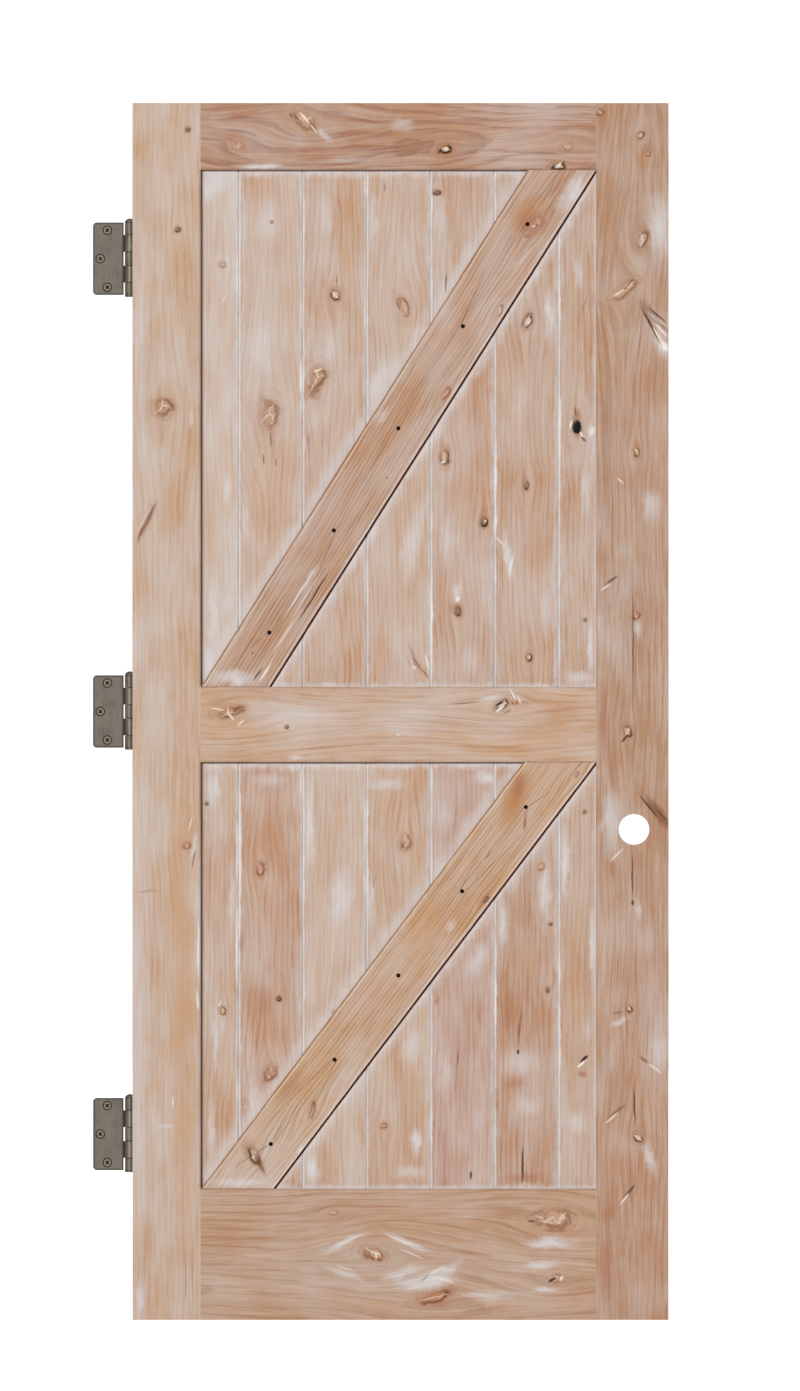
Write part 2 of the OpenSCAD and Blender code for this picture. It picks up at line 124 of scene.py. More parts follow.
def alder_figure():
    """Growth rings, streaks, fibres and the chalk left in them, for a board in millimetres."""
    takes = {
        "Across": "Float", "Along": "Float", "Deep": "Float", "Seed": "Float",
        "Ring pitch": "Float", "Heart": "Float", "Rise": "Float", "Ring": "Float",
        "Streak": "Float", "Sway": "Float", "Chalk": "Float", "Chalk spread": "Float",
        "Wood": "Color", "Dark": "Color", "Wash": "Color",
    }
    gives = {"Colour": "Color", "Height": "Float", "Grain": "Float", "Warp": "Vector"}
    g, given = finishing_step("whitewashed alder figure", takes, gives)
    spot = add(g, "CombineXYZ", {0: given["Across"], 1: given["Along"], 2: given["Deep"]})
    spot = add(g, "VectorMath", {0: given["Seed"], 1: SEED_STEP, 2: spot}, operation="MULTIPLY_ADD")
    # slow sway of the grain, 460 mm long
    slow = add(g, "VectorMath", {0: spot, 1: repeat(150, 460)}, operation="MULTIPLY")
    slow = add(g, "TexNoise", {"Vector": slow, "Scale": 1.0, "Detail": 1.0})
    slow = add(g, "Math", {0: slow, 1: 0.5}, operation="SUBTRACT")
    slow = add(g, "Math", {0: slow, 1: given["Sway"]}, operation="MULTIPLY")
    sideways = add(g, "CombineXYZ", {0: slow})
    swayed = add(g, "VectorMath", {0: spot, 1: sideways}, operation="ADD")
    # streaks 7 mm wide and fibres 2.4 mm wide; real alder pores are finer than the picture can show
    streak = add(g, "VectorMath", {0: swayed, 1: repeat(7, 420)}, operation="MULTIPLY")
    streak = add(g, "TexNoise", {"Vector": streak, "Scale": 1.0, "Detail": 3.0, "Roughness": 0.62})
    fibre = add(g, "VectorMath", {0: swayed, 1: repeat(2.4, 150)}, operation="MULTIPLY")
    fibre = add(g, "TexNoise", {"Vector": fibre, "Scale": 1.0, "Detail": 3.0, "Roughness": 0.7})
    # zones of tone, 70 mm wide and 190 mm long
    zone = add(g, "VectorMath", {0: spot, 1: repeat(70, 190)}, operation="MULTIPLY")
    zone = add(g, "TexNoise", {"Vector": zone, "Scale": 1.0, "Detail": 2.5, "Roughness": 0.55})
    # growth rings, cut at a slant so that they run out as arches
    ring = add(g, "Math", {0: given["Across"], 1: slow}, operation="ADD")
    ring = add(g, "Math", {0: ring, 1: given["Heart"]}, operation="SUBTRACT")
    ring = add(g, "Math", {0: ring, 1: 2.0}, operation="POWER")
    ring = add(g, "Math", {0: ring, 1: ARCH_TIP}, operation="ADD")
    ring = add(g, "Math", {0: ring}, operation="SQRT")
    ring = add(g, "Math", {0: given["Along"], 1: given["Rise"], 2: ring}, operation="MULTIPLY_ADD")
    ring = add(g, "Math", {0: zone, 1: given["Sway"], 2: ring}, operation="MULTIPLY_ADD")
    ring = add(g, "Math", {0: streak, 1: RING_WAVER, 2: ring}, operation="MULTIPLY_ADD")
    ring = add(g, "Math", {0: ring, 1: given["Ring pitch"]}, operation="DIVIDE")
    ring = add(g, "Math", {0: ring}, operation="FRACT")
    ring = add(g, "MapRange", {0: ring, 1: 0.5, 2: 1.0, 3: 0.0, 4: 1.0},
               interpolation_type="SMOOTHSTEP")
    ring = add(g, "Math", {0: ring, 1: 0.3}, operation="SUBTRACT")
    ring = add(g, "Math", {0: ring, 1: given["Ring"]}, operation="MULTIPLY")
    # darkness of the bare wood
    dark = add(g, "Math", {0: streak, 1: 0.5}, operation="SUBTRACT")
    dark = add(g, "Math", {0: dark, 1: given["Streak"]}, operation="MULTIPLY")
    hair = add(g, "Math", {0: fibre, 1: 0.5}, operation="SUBTRACT")
    dark = add(g, "Math", {0: hair, 1: 1.25, 2: dark}, operation="MULTIPLY_ADD")
    dark = add(g, "Math", {0: dark, 1: ring}, operation="ADD")
    dark = add(g, "Math", {0: dark, 1: 0.3}, operation="ADD", use_clamp=True)
    # some stretches of alder are pinker, about 310 mm long
    blush = add(g, "VectorMath", {0: spot, 1: repeat(95, 310)}, operation="MULTIPLY")
    blush = add(g, "TexNoise", {"Vector": blush, "Scale": 1.0, "Detail": 2.0})
    blush = add(g, "MapRange", {0: blush, 1: 0.42, 2: 0.62, 3: 0.0, 4: 0.35})
    wood = add(g, "Mix", {0: blush, 6: given["Wood"], 7: linear(PINK_ALDER)}, out=2, data_type="RGBA")
    bare = add(g, "Mix", {0: dark, 6: wood, 7: given["Dark"]}, out=2, data_type="RGBA")
    # chalk: clouds 45 mm wide and 95 mm long, broken along the grain and thinner on the dark lines
    cloud = add(g, "VectorMath", {0: spot, 1: repeat(45, 95)}, operation="MULTIPLY")
    cloud = add(g, "TexNoise", {"Vector": cloud, "Scale": 1.0, "Detail": 4.0, "Roughness": 0.6})
    chalk = add(g, "Math", {0: cloud, 1: 0.7, 2: zone}, operation="MULTIPLY_ADD")
    chalk = add(g, "Math", {0: chalk, 1: 0.85}, operation="SUBTRACT")
    chalk = add(g, "Math", {0: chalk, 1: given["Chalk spread"], 2: given["Chalk"]},
                operation="MULTIPLY_ADD")
    chalk = add(g, "Math", {0: dark, 1: -0.15, 2: chalk}, operation="MULTIPLY_ADD")
    chalk = add(g, "Math", {0: hair, 1: -0.2, 2: chalk}, operation="MULTIPLY_ADD", use_clamp=True)
    # flecks of chalk caught in the tooth of the sanded face, drawn 3 mm wide and 70 mm long
    fleck = add(g, "VectorMath", {0: swayed, 1: repeat(3.2, 70)}, operation="MULTIPLY")
    fleck = add(g, "TexNoise", {"Vector": fleck, "Scale": 1.0, "Detail": 2.0, "Roughness": 0.6})
    fleck = add(g, "MapRange", {0: fleck, 1: 0.3, 2: 0.75, 3: -0.12, 4: 0.14})
    chalk = add(g, "Math", {0: chalk, 1: fleck}, operation="ADD", use_clamp=True)
    colour = add(g, "Mix", {0: chalk, 6: bare, 7: given["Wash"]}, out=2, data_type="RGBA")
    height = add(g, "Math", {0: dark, 1: -0.5}, operation="MULTIPLY")
    height = add(g, "Math", {0: hair, 1: 0.9, 2: height}, operation="MULTIPLY_ADD")
    # a drifting field that makes the outlines of marks ragged, 18 mm wide and 30 mm long
    drift = add(g, "VectorMath", {0: spot, 1: repeat(18, 30)}, operation="MULTIPLY")
    drift = add(g, "TexNoise", {"Vector": drift, "Scale": 1.0, "Detail": 4.0, "Roughness": 0.62},
                out="Color")
    drift = add(g, "VectorMath", {0: drift, 1: (0.5, 0.5, 0.5)}, operation="SUBTRACT")
    drift = add(g, "VectorMath", {0: drift, 1: (2.0, 2.0, 0.0)}, operation="MULTIPLY")
    grain = add(g, "Math", {0: fibre, 1: cloud}, operation="ADD")
    grain = add(g, "MapRange", {0: grain, 1: 0.85, 2: 1.15, 3: 0.0, 4: 1.0})
    add(g, "NodeGroupOutput", {"Colour": colour, "Height": height, "Grain": grain, "Warp": drift})
    return g


def smear_on_wood():
    """A soft-edged patch of chalk or stain, a line of painted shadow, or a thin check, laid over a
    board's colour.
    """
    takes = {
        "Colour": "Color", "Height": "Float", "Place": "Vector", "Warp": "Vector", "Grain": "Float",
        "Centre": "Vector", "Turn": "Vector", "Half": "Vector", "Square": "Float", "Ragged": "Vector",
        "Edge": "Float", "Broken": "Float", "Tint": "Color", "Cover": "Float", "Dent": "Float",
    }
    g, given = finishing_step("smear on wood", takes, {"Colour": "Color", "Height": "Float"})
    spot = add(g, "Mapping", {
        "Vector": given["Place"], "Location": given["Centre"],
        "Rotation": given["Turn"], "Scale": given["Half"],
    }, vector_type="TEXTURE")
    spot = add(g, "VectorMath", {0: given["Warp"], 1: given["Ragged"], 2: spot}, operation="MULTIPLY_ADD")
    round_d = add(g, "VectorMath", {0: spot}, out="Value", operation="LENGTH")
    sides = add(g, "VectorMath", {0: spot}, operation="ABSOLUTE")
    ahead = add(g, "VectorMath", {0: sides, 1: ON_X}, out="Value", operation="DOT_PRODUCT")
    aside = add(g, "VectorMath", {0: sides, 1: ON_Y}, out="Value", operation="DOT_PRODUCT")
    square_d = add(g, "Math", {0: ahead, 1: aside}, operation="MAXIMUM")
    reach = add(g, "Mix", {0: given["Square"], 2: round_d, 3: square_d})
    cover = add(g, "MapRange", {0: reach, 1: given["Edge"], 2: 1.0, 3: 1.0, 4: 0.0},
                interpolation_type="SMOOTHSTEP")
    gaps = add(g, "Math", {0: cover, 1: given["Grain"]}, operation="MULTIPLY")
    gaps = add(g, "Math", {0: gaps, 1: given["Broken"]}, operation="MULTIPLY")
    cover = add(g, "Math", {0: cover, 1: gaps}, operation="SUBTRACT")
    cover = add(g, "Math", {0: cover, 1: given["Cover"]}, operation="MULTIPLY")
    colour = add(g, "Mix", {0: cover, 6: given["Colour"], 7: given["Tint"]}, out=2, data_type="RGBA")
    height = add(g, "Math", {0: cover, 1: given["Dent"], 2: given["Height"]}, operation="MULTIPLY_ADD")
    add(g, "NodeGroupOutput", {"Colour": colour, "Height": height})
    return g


# The way to a knot's darker side, how close its rings are, and where its bark lies in knot sizes
KNOT_DARK_SIDE, KNOT_RINGS, KNOT_BARK = (0.45, -0.55, 0.0), 10.0, 0.92
CRACK_WAVER = (1.6, 1.6, 0.0)


def knot_in_wood():
    """A knot laid over a board's colour: stained halo, growth rings, bark ring, core and star cracks."""
    takes = {
        "Colour": "Color", "Height": "Float", "Place": "Vector", "Warp": "Vector", "Grain": "Float",
        "Centre": "Vector", "Turn": "Vector", "Half": "Vector", "Ragged": "Vector", "Spin": "Float",
        "Core": "Color", "Ring": "Color", "Halo": "Color", "Crack": "Color",
        "Rays": "Float", "Split": "Float", "Cover": "Float",
    }
    g, given = finishing_step("knot in wood", takes, {"Colour": "Color", "Height": "Float"})
    spot = add(g, "Mapping", {
        "Vector": given["Place"], "Location": given["Centre"],
        "Rotation": given["Turn"], "Scale": given["Half"],
    }, vector_type="TEXTURE")
    spot = add(g, "VectorMath", {0: given["Warp"], 1: given["Ragged"], 2: spot}, operation="MULTIPLY_ADD")
    reach = add(g, "VectorMath", {0: spot}, out="Value", operation="LENGTH")
    ahead = add(g, "VectorMath", {0: spot, 1: ON_X}, out="Value", operation="DOT_PRODUCT")
    aside = add(g, "VectorMath", {0: spot, 1: ON_Y}, out="Value", operation="DOT_PRODUCT")
    # one side of a knot is darker than the other
    tilt = add(g, "VectorMath", {0: spot, 1: KNOT_DARK_SIDE}, out="Value", operation="DOT_PRODUCT")
    halo = add(g, "MapRange", {0: reach, 1: 0.7, 2: 2.3, 3: 0.75, 4: 0.0},
               interpolation_type="SMOOTHSTEP")
    rings = add(g, "Math", {0: reach, 1: KNOT_RINGS}, operation="MULTIPLY")
    rings = add(g, "Math", {0: rings}, operation="SINE")
    rings = add(g, "MapRange", {0: rings, 1: 0.35, 2: 1.0, 3: 0.0, 4: 1.0})
    fade = add(g, "MapRange", {0: reach, 1: 0.9, 2: 2.9, 3: 0.35, 4: 0.0},
               interpolation_type="SMOOTHSTEP")
    rings = add(g, "Math", {0: rings, 1: fade}, operation="MULTIPLY")
    bark = add(g, "Math", {0: reach, 1: KNOT_BARK}, operation="SUBTRACT")
    bark = add(g, "Math", {0: bark}, operation="ABSOLUTE")
    bark = add(g, "MapRange", {0: bark, 1: 0.1, 2: 0.4, 3: 1.0, 4: 0.0}, interpolation_type="SMOOTHSTEP")
    side = add(g, "Math", {0: tilt, 1: 0.8}, operation="ADD", use_clamp=True)
    bark = add(g, "Math", {0: bark, 1: side}, operation="MULTIPLY")
    core = add(g, "MapRange", {0: reach, 1: 0.5, 2: 0.9, 3: 0.8, 4: 0.0}, interpolation_type="SMOOTHSTEP")
    side = add(g, "Math", {0: 0.8, 1: tilt}, operation="SUBTRACT", use_clamp=True)
    core = add(g, "Math", {0: core, 1: side}, operation="MULTIPLY")
    gaps = add(g, "Math", {0: core, 1: given["Grain"]}, operation="MULTIPLY")
    core = add(g, "Math", {0: gaps, 1: -0.6, 2: core}, operation="MULTIPLY_ADD")
    # drying cracks run out from the middle, wavering
    star = add(g, "Math", {0: aside, 1: ahead}, operation="ARCTAN2")
    star = add(g, "Math", {0: star, 1: given["Rays"], 2: given["Spin"]}, operation="MULTIPLY_ADD")
    waver = add(g, "VectorMath", {0: given["Warp"], 1: CRACK_WAVER}, out="Value", operation="DOT_PRODUCT")
    star = add(g, "Math", {0: star, 1: waver}, operation="ADD")
    star = add(g, "Math", {0: star}, operation="SINE")
    star = add(g, "Math", {0: star, 1: reach}, operation="MULTIPLY")
    star = add(g, "Math", {0: star}, operation="ABSOLUTE")
    star = add(g, "MapRange", {0: star, 1: 0.04, 2: 0.14, 3: 1.0, 4: 0.0})
    fade = add(g, "MapRange", {0: reach, 1: 0.6, 2: 1.3, 3: 1.0, 4: 0.0})
    star = add(g, "Math", {0: star, 1: fade}, operation="MULTIPLY")
    star = add(g, "Math", {0: star, 1: given["Split"]}, operation="MULTIPLY")
    height, colour = given["Height"], given["Colour"]
    layers = (
        (halo, "Halo", 0.0), (rings, "Ring", 0.0), (core, "Core", 0.5),
        (bark, "Ring", -0.9), (star, "Crack", -0.5),
    )
    for mask, tint, dent in layers:
        mask = add(g, "Math", {0: mask, 1: given["Cover"]}, operation="MULTIPLY")
        colour = add(g, "Mix", {0: mask, 6: colour, 7: given[tint]}, out=2, data_type="RGBA")
        if dent:
            height = add(g, "Math", {0: mask, 1: dent, 2: height}, operation="MULTIPLY_ADD")
    add(g, "NodeGroupOutput", {"Colour": colour, "Height": height})
    return g


GRAIN_ROUND_KNOT = grain_round_knot()
ALDER_FIGURE = alder_figure()
SMEAR = smear_on_wood()
KNOT = knot_in_wood()

# Each kind of mark: its colour, its raggedness in mm, where its edge begins to fade, how far the
# grain breaks it up, and its dent
MARKS = {
    "chalk": ("#DAD7D8", 15.0, 0.05, 0.4, 0.0),
    "lime": ("#F0EDEC", 3.0, 0.4, 0.1, 0.0),
    "scratch": ("#E6D8CC", 2.0, 0.35, 0.1, 0.0),
    "tan": ("#C79A73", 14.0, 0.0, 0.3, 0.0),
    "amber": ("#B9804F", 8.0, 0.1, 0.2, 0.0),
    "rust": ("#A86B4C", 6.0, 0.05, 0.2, 0.0),
    "umber": ("#7A4B32", 3.0, 0.25, 0.1, 0.0),
    "plum": ("#8E6C66", 5.0, 0.0, 0.2, 0.0),
    "check": ("#452A1C", 2.5, 0.45, 0.0, -1.0),
    # painted shadow: the dark line that the brace, the hinge stile and the rail above cast on the planks
    "grime": ("#5C1F04", 0.5, 0.55, 0.0, 0.0),
    "cream": ("#F3E2CA", 2.0, 0.45, 0.0, 0.0),
    "void": ("#060403", 3.0, 0.5, 0.0, 0.0),
    "joint": ("#EEECEB", 3.0, 0.35, 0.35, 0.0),
}
SOFT_MARKS = ("chalk", "tan", "amber", "rust", "plum")
# Each kind of knot: the colours of its core, bark ring, halo and cracks, how open the cracks are,
# and half the number of them
KNOTS = {
    "dark": ("#74492F", "#3A2216", "#A87A5B", "#24140C", 0.5, 1.0),
    "cream": ("#D8B892", "#62402B", "#B68763", "#FBF0DE", 0.8, 1.0),
    "white": ("#D8C2B2", "#654331", "#B98F73", "#FAF6F1", 0.8, 1.0),
    "red": ("#B57C5C", "#84523A", "#BA8867", "#F2DEC6", 0.7, 1.0),
    "star": ("#B1835F", "#85573C", "#B98B68", "#F6E6D0", 1.0, 1.5),
    "swirl": ("#D9BCA2", "#93633F", "#BA8D6B", "#FBF3E6", 1.0, 1.5),
    "faint": ("#C79E80", "#9F735A", "#C09A7E", "#EBDAC6", 0.6, 1.0),
    "eye": ("#DEC4A8", "#3A2117", "#B28158", "#F8E8D0", 0.5, 1.0),
    "hole": ("#070403", "#0E0805", "#A67757", "#030201", 1.0, 1.5),
}
# The door's left edge and foot in the photograph's pixels, and the millimetres to a pixel
PHOTO_LEFT, PHOTO_FOOT = 133.0, 1320.0
PHOTO_MM_X, PHOTO_MM_Z = 1.7566, 1.7532
DOOR_HALF_W = 469.9


def on_door(px, py):
    """Millimetres from the middle of the door's foot, for a spot counted in the photograph's pixels."""
    return (px - PHOTO_LEFT) * PHOTO_MM_X - DOOR_HALF_W, (PHOTO_FOOT - py) * PHOTO_MM_Z


def bare_material(name):
    """A new material with no nodes yet, and its node tree."""
    material = bpy.data.materials.new(name)
    material.use_nodes = True
    material.node_tree.nodes.clear()
    return material, material.node_tree


TO_MM = (1000.0, 1000.0, 1000.0)
WHITEWASH = "#D3CDC9"
# How far off the marks of the face are moved behind the board's middle, in mm
OUT_OF_REACH = 9000.0
# How far round a knot the grain swerves, in knot sizes across and along it, and how strongly
SWERVE_ACROSS, SWERVE_ALONG, SWERVE_PULL = 2.0, 4.2, 0.9
# A line with less than this half width in mm would be lost in the picture, so it is drawn wider
THIN_LINE, THIN_LINE_GAIN = 3.0, 1.4
# How ragged a knot's outline is, in knot sizes
KNOT_RAGGED = (1.3, 1.3, 0.0)
# Height of the raised grain, in metres
RAISED_GRAIN = 0.0003


def whitewashed_alder(name, lean, wood, dark, chalk, seed, spread=1.05, ring=0.6, pitch=9.0, heart=0.0,
                      rise=0.02, streak=0.85, sway=26.0, knots=(), marks=(), bands=(), edges=()):
    """Knotty alder, whitewashed and sanded: lean is the grain's angle from upright, seen from the front.
    It gives a dry, matt face with tan lines and chalky clouds, and knots that the grain flows round.
    A knot is its spot in the photograph, half length, half width, turn, kind and cover. A mark is its
    kind, spot, half length, half width, turn and cover. Bands, which go right through, and edges, on
    the braced face alone, are straight strips like marks, with their spots in door millimetres."""
    material, t = bare_material(name)
    turn = math.radians(lean)

    def in_board(x, z):
        """A spot on the door, counted across and along the leaning board."""
        return x * math.cos(turn) - z * math.sin(turn), x * math.sin(turn) + z * math.cos(turn), 0.0

    place = add(t, "TexCoord", out="Object")
    place = add(t, "Mapping", {"Vector": place, "Rotation": (0.0, -turn, 0.0), "Scale": TO_MM})
    across, deep, along = add(t, "SeparateXYZ", {0: place}).node.outputs
    face = add(t, "CombineXYZ", {0: across, 1: along})
    # smears lie on the braced face only: behind the board's middle their place is moved out of reach
    behind = add(t, "MapRange", {0: deep, 1: 0.0, 2: 1.0, 3: 0.0, 4: OUT_OF_REACH})
    behind = add(t, "Math", {0: along, 1: behind}, operation="ADD")
    front = add(t, "CombineXYZ", {0: across, 1: behind})
    pushed = across
    for px, py, long, wide, *_ in knots:
        size = max(long, wide)
        pushed = add(t, "Group", {
            "Across": pushed, "Place": face, "Centre": in_board(*on_door(px, py)),
            "Reach": (SWERVE_ACROSS * size, SWERVE_ALONG * size, 1.0), "Pull": SWERVE_PULL,
        }, node_tree=GRAIN_ROUND_KNOT)
    figure = add(t, "Group", {
        "Across": pushed, "Along": along, "Deep": deep, "Seed": seed,
        "Ring pitch": pitch, "Heart": heart, "Rise": rise, "Ring": ring,
        "Streak": streak, "Sway": sway, "Chalk": chalk, "Chalk spread": spread,
        "Wood": linear(wood), "Dark": linear(dark), "Wash": linear(WHITEWASH),
    }, node_tree=ALDER_FIGURE).node.outputs
    colour, height = figure["Colour"], figure["Height"]
    smears = [(face, 1.0, kind, in_board(x, z), *rest) for kind, x, z, *rest in bands]
    smears += [(front, 1.0, kind, in_board(x, z), *rest) for kind, x, z, *rest in edges]
    smears += [(front, 0.0, kind, in_board(*on_door(px, py)), *rest) for kind, px, py, *rest in marks]

    def lay(colour, height, smears):
        """The board's colour and height with smears laid one over the other."""
        for where, square, kind, centre, long, wide, angle, cover in smears:
            tint, ragged, edge, broken, dent = MARKS[kind]
            wide = THIN_LINE_GAIN * wide if wide < THIN_LINE else wide
            laid = add(t, "Group", {
                "Colour": colour, "Height": height, "Place": where,
                "Warp": figure["Warp"], "Grain": figure["Grain"], "Centre": centre,
                "Turn": (0.0, 0.0, math.radians(angle) + turn), "Half": (long, wide, 1.0),
                "Ragged": (min(ragged, long) / long, min(ragged, wide) / wide, 0.0), "Square": square,
                "Edge": edge, "Broken": broken, "Tint": linear(tint), "Cover": cover, "Dent": dent,
            }, node_tree=SMEAR).node.outputs
            colour = laid["Colour"]
            height = laid["Height"] if dent else height
        return colour, height

    # soft stains and chalk lie under the knots, crisp lines over them
    colour, height = lay(colour, height, [smear for smear in smears if smear[2] in SOFT_MARKS])
    for px, py, long, wide, angle, kind, cover in knots:
        core, bark, halo, crack, split, rays = KNOTS[kind]
        laid = add(t, "Group", {
            "Colour": colour, "Height": height, "Place": face,
            "Warp": figure["Warp"], "Grain": figure["Grain"], "Centre": in_board(*on_door(px, py)),
            "Turn": (0.0, 0.0, math.radians(angle) + turn), "Half": (long, wide, 1.0),
            "Ragged": KNOT_RAGGED, "Spin": px + py, "Core": linear(core), "Ring": linear(bark),
            "Halo": linear(halo), "Crack": linear(crack), "Rays": rays, "Split": split, "Cover": cover,
        }, node_tree=KNOT).node.outputs
        colour, height = laid["Colour"], laid["Height"]
    colour, height = lay(colour, height, [smear for smear in smears if smear[2] not in SOFT_MARKS])
    rough = add(t, "MapRange", {0: height, 1: -1.0, 2: 0.6, 3: 0.82, 4: 0.62})
    bump = add(t, "Bump", {"Strength": 0.8, "Distance": RAISED_GRAIN, "Height": height})
    # wood's usual IOR, with less gloss because the wash is dry
    shader = add(t, "BsdfPrincipled", {
        "Base Color": colour, "Roughness": rough, "Normal": bump, "IOR": 1.45, "Specular IOR Level": 0.3,
    })
    add(t, "OutputMaterial", {"Surface": shader})
    return material


# The sanded edge and the weld before it in metres, and the least angle of an arris in degrees
EASED_EDGE, WELD_GAP, ARRIS_ANGLE = 0.0005, 0.00001, 30


def coat(node, material):
    """Gives a node its finish and returns its object."""
    piece = nodes[node]
    piece.data.materials.clear()
    piece.data.materials.append(material)
    return piece


def finish_board(node, material):
    """Gives a board its finish, and rubs its arrises off by half a millimetre as sanding does."""
    board = coat(node, material)
    weld = board.modifiers.new("weld", "WELD")
    weld.merge_threshold = WELD_GAP
    ease = board.modifiers.new("sanded arris", "BEVEL")
    ease.width = EASED_EDGE
    ease.segments = 2
    ease.limit_method = "ANGLE"
    ease.angle_limit = math.radians(ARRIS_ANGLE)


hinge_stile_alder = whitewashed_alder(
    "hinge stile alder", lean=0, wood="#CAA078", dark="#AA7E58", chalk=0.44, seed=1.0,
    streak=0.75, ring=0.28, heart=-620.0, pitch=10.0,
    knots=[
        (188, 130, 4, 4, 0, "dark", 0.8), (178, 230, 5, 4, 20, "dark", 0.9),
        (163, 408, 15, 13, 60, "star", 0.7), (187, 845, 7, 6, 0, "red", 0.7),
    ],
    marks=[
        ("tan", 172, 150, 80, 40, 90, 0.45), ("tan", 184, 1000, 600, 34, 90, 0.8),
        ("chalk", 138, 1010, 600, 28, 90, 0.5), ("chalk", 138, 640, 90, 20, 90, 0.5),
        ("chalk", 140, 1300, 40, 14, 90, 0.8), ("chalk", 140, 330, 200, 18, 90, 0.5),
        ("chalk", 192, 418, 26, 6, 90, 0.7), ("rust", 147, 522, 48, 13, 65, 0.7),
        ("umber", 148, 521, 44, 4.5, 63, 0.65), ("scratch", 143, 522, 30, 2, 63, 0.6),
        ("umber", 152, 511, 22, 2, 62, 0.7), ("umber", 141, 534, 22, 2, 70, 0.7),
        ("cream", 191, 824, 18, 1.3, 75, 0.7), ("check", 194, 859, 22, 1.3, 80, 0.6),
        ("chalk", 194, 846, 34, 7, 80, 0.7), ("rust", 148, 891, 32, 4, 5, 0.5),
        ("lime", 199, 950, 72, 2.0, 90, 0.6), ("cream", 173, 1102, 12, 1.3, 90, 0.8),
        ("chalk", 168, 1126, 18, 6, 0, 0.6), ("umber", 186, 1275, 74, 1.6, 90, 0.4),
        ("lime", 198, 1000, 22, 4, 90, 0.5), ("umber", 193, 1280, 70, 1.4, 90, 0.35),
    ],
)
finish_board("hinge_stile", hinge_stile_alder)

# Lock stile: the upright at the free edge, bored through its faces for the lock and through its
# edge for the latch. Browner alder than its pair, with more knots, whitewashed and sanded alike.
lock_stile_alder = whitewashed_alder(
    "lock stile alder", lean=0, wood="#BB9171", dark="#956B53", chalk=0.2, seed=2.0,
    spread=0.95, streak=0.5, ring=0.25, heart=980.0, pitch=10.0,
    knots=[
        (599, 112, 8, 6, 0, "red", 0.8), (640, 135, 8, 6, 60, "cream", 0.8),
        (648, 153, 3, 4, 0, "cream", 0.8), (642, 240, 12, 8, 60, "white", 0.65),
        (622, 289, 22, 9, 34, "faint", 1.0), (636, 452, 5, 7, 0, "cream", 0.8),
        (636, 615, 7, 7, 0, "red", 0.8), (628, 732, 7, 9, 30, "cream", 0.95),
        (629, 1009, 5, 6, 0, "eye", 0.85), (637, 1138, 10, 7, -50, "white", 0.95),
    ],
    marks=[
        ("chalk", 659, 226, 76, 26, 90, 0.95), ("amber", 641, 160, 34, 16, 90, 0.45),
        ("rust", 604, 125, 40, 16, 90, 0.4), ("umber", 606, 450, 190, 14, 90, 0.22),
        ("cream", 618, 293, 15, 1.4, 33, 0.7), ("umber", 629, 283, 12, 2.2, 50, 0.65),
        ("check", 625, 288, 3, 2, 0, 0.7), ("chalk", 662, 344, 34, 16, -72, 1.0),
        ("lime", 656, 319, 26, 2.2, -40, 0.85), ("lime", 661, 330, 22, 2, -46, 0.8),
        ("lime", 664, 346, 14, 7, -60, 0.85), ("check", 657, 315, 24, 1.6, -40, 0.8),
        ("check", 651, 326, 46, 2.4, -62, 0.9), ("umber", 661, 324, 24, 2.2, -46, 0.6),
        ("cream", 658, 337, 26, 1.6, -60, 0.9), ("umber", 649, 312, 36, 11, -50, 0.5),
        ("scratch", 620, 481, 10, 1.6, -40, 0.85), ("chalk", 651, 506, 40, 22, 90, 0.7),
        ("umber", 610, 581, 20, 4.5, 35, 0.6), ("check", 612, 579, 13, 1.4, 35, 0.6),
        ("scratch", 605, 587, 15, 1.8, 35, 0.85), ("chalk", 637, 628, 26, 12, 90, 0.6),
        ("check", 632.5, 645, 148, 1.4, 90, 0.6), ("check", 624, 739, 12, 2, 50, 0.85),
        ("rust", 603, 710, 88, 12, 90, 0.5), ("chalk", 600, 626, 50, 7, 90, 0.5),
        ("umber", 657, 812, 50, 13, -52, 0.75), ("rust", 664, 824, 20, 14, -52, 0.7),
        ("check", 648, 806, 36, 1.6, -52, 0.8), ("check", 661, 815, 24, 1.2, -46, 0.6),
        ("chalk", 611, 820, 74, 24, 90, 0.8), ("scratch", 616, 855, 20, 2.2, 46, 0.75),
        ("rust", 612, 868, 22, 12, 90, 0.5), ("check", 632, 876, 48, 1.4, 90, 0.75),
        ("check", 632, 903, 7, 2.4, 90, 0.8), ("chalk", 638, 910, 26, 8, 100, 0.6),
        ("umber", 616, 1013, 14, 4, 8, 0.5), ("chalk", 619, 1022, 24, 8, 20, 0.7),
        ("umber", 644, 1060, 18, 4.5, -38, 0.7), ("scratch", 654, 1068, 20, 2.2, -37, 0.85),
        ("chalk", 658, 1052, 50, 24, 90, 0.75), ("check", 634, 1106, 42, 1.6, 92, 0.8),
        ("umber", 616, 1112, 28, 5, 41, 0.65), ("scratch", 611, 1118, 20, 1.8, 41, 0.9),
        ("chalk", 650, 1158, 44, 16, 110, 0.7), ("umber", 627, 1194, 24, 6, 52, 0.7),
        ("scratch", 624, 1199, 17, 2, 52, 0.95), ("check", 631, 1189, 14, 1.4, 55, 0.7),
        ("rust", 610, 1213, 34, 16, 45, 0.6), ("rust", 604, 1270, 100, 16, 90, 0.45),
    ],
)
finish_board("lock_stile", lock_stile_alder)

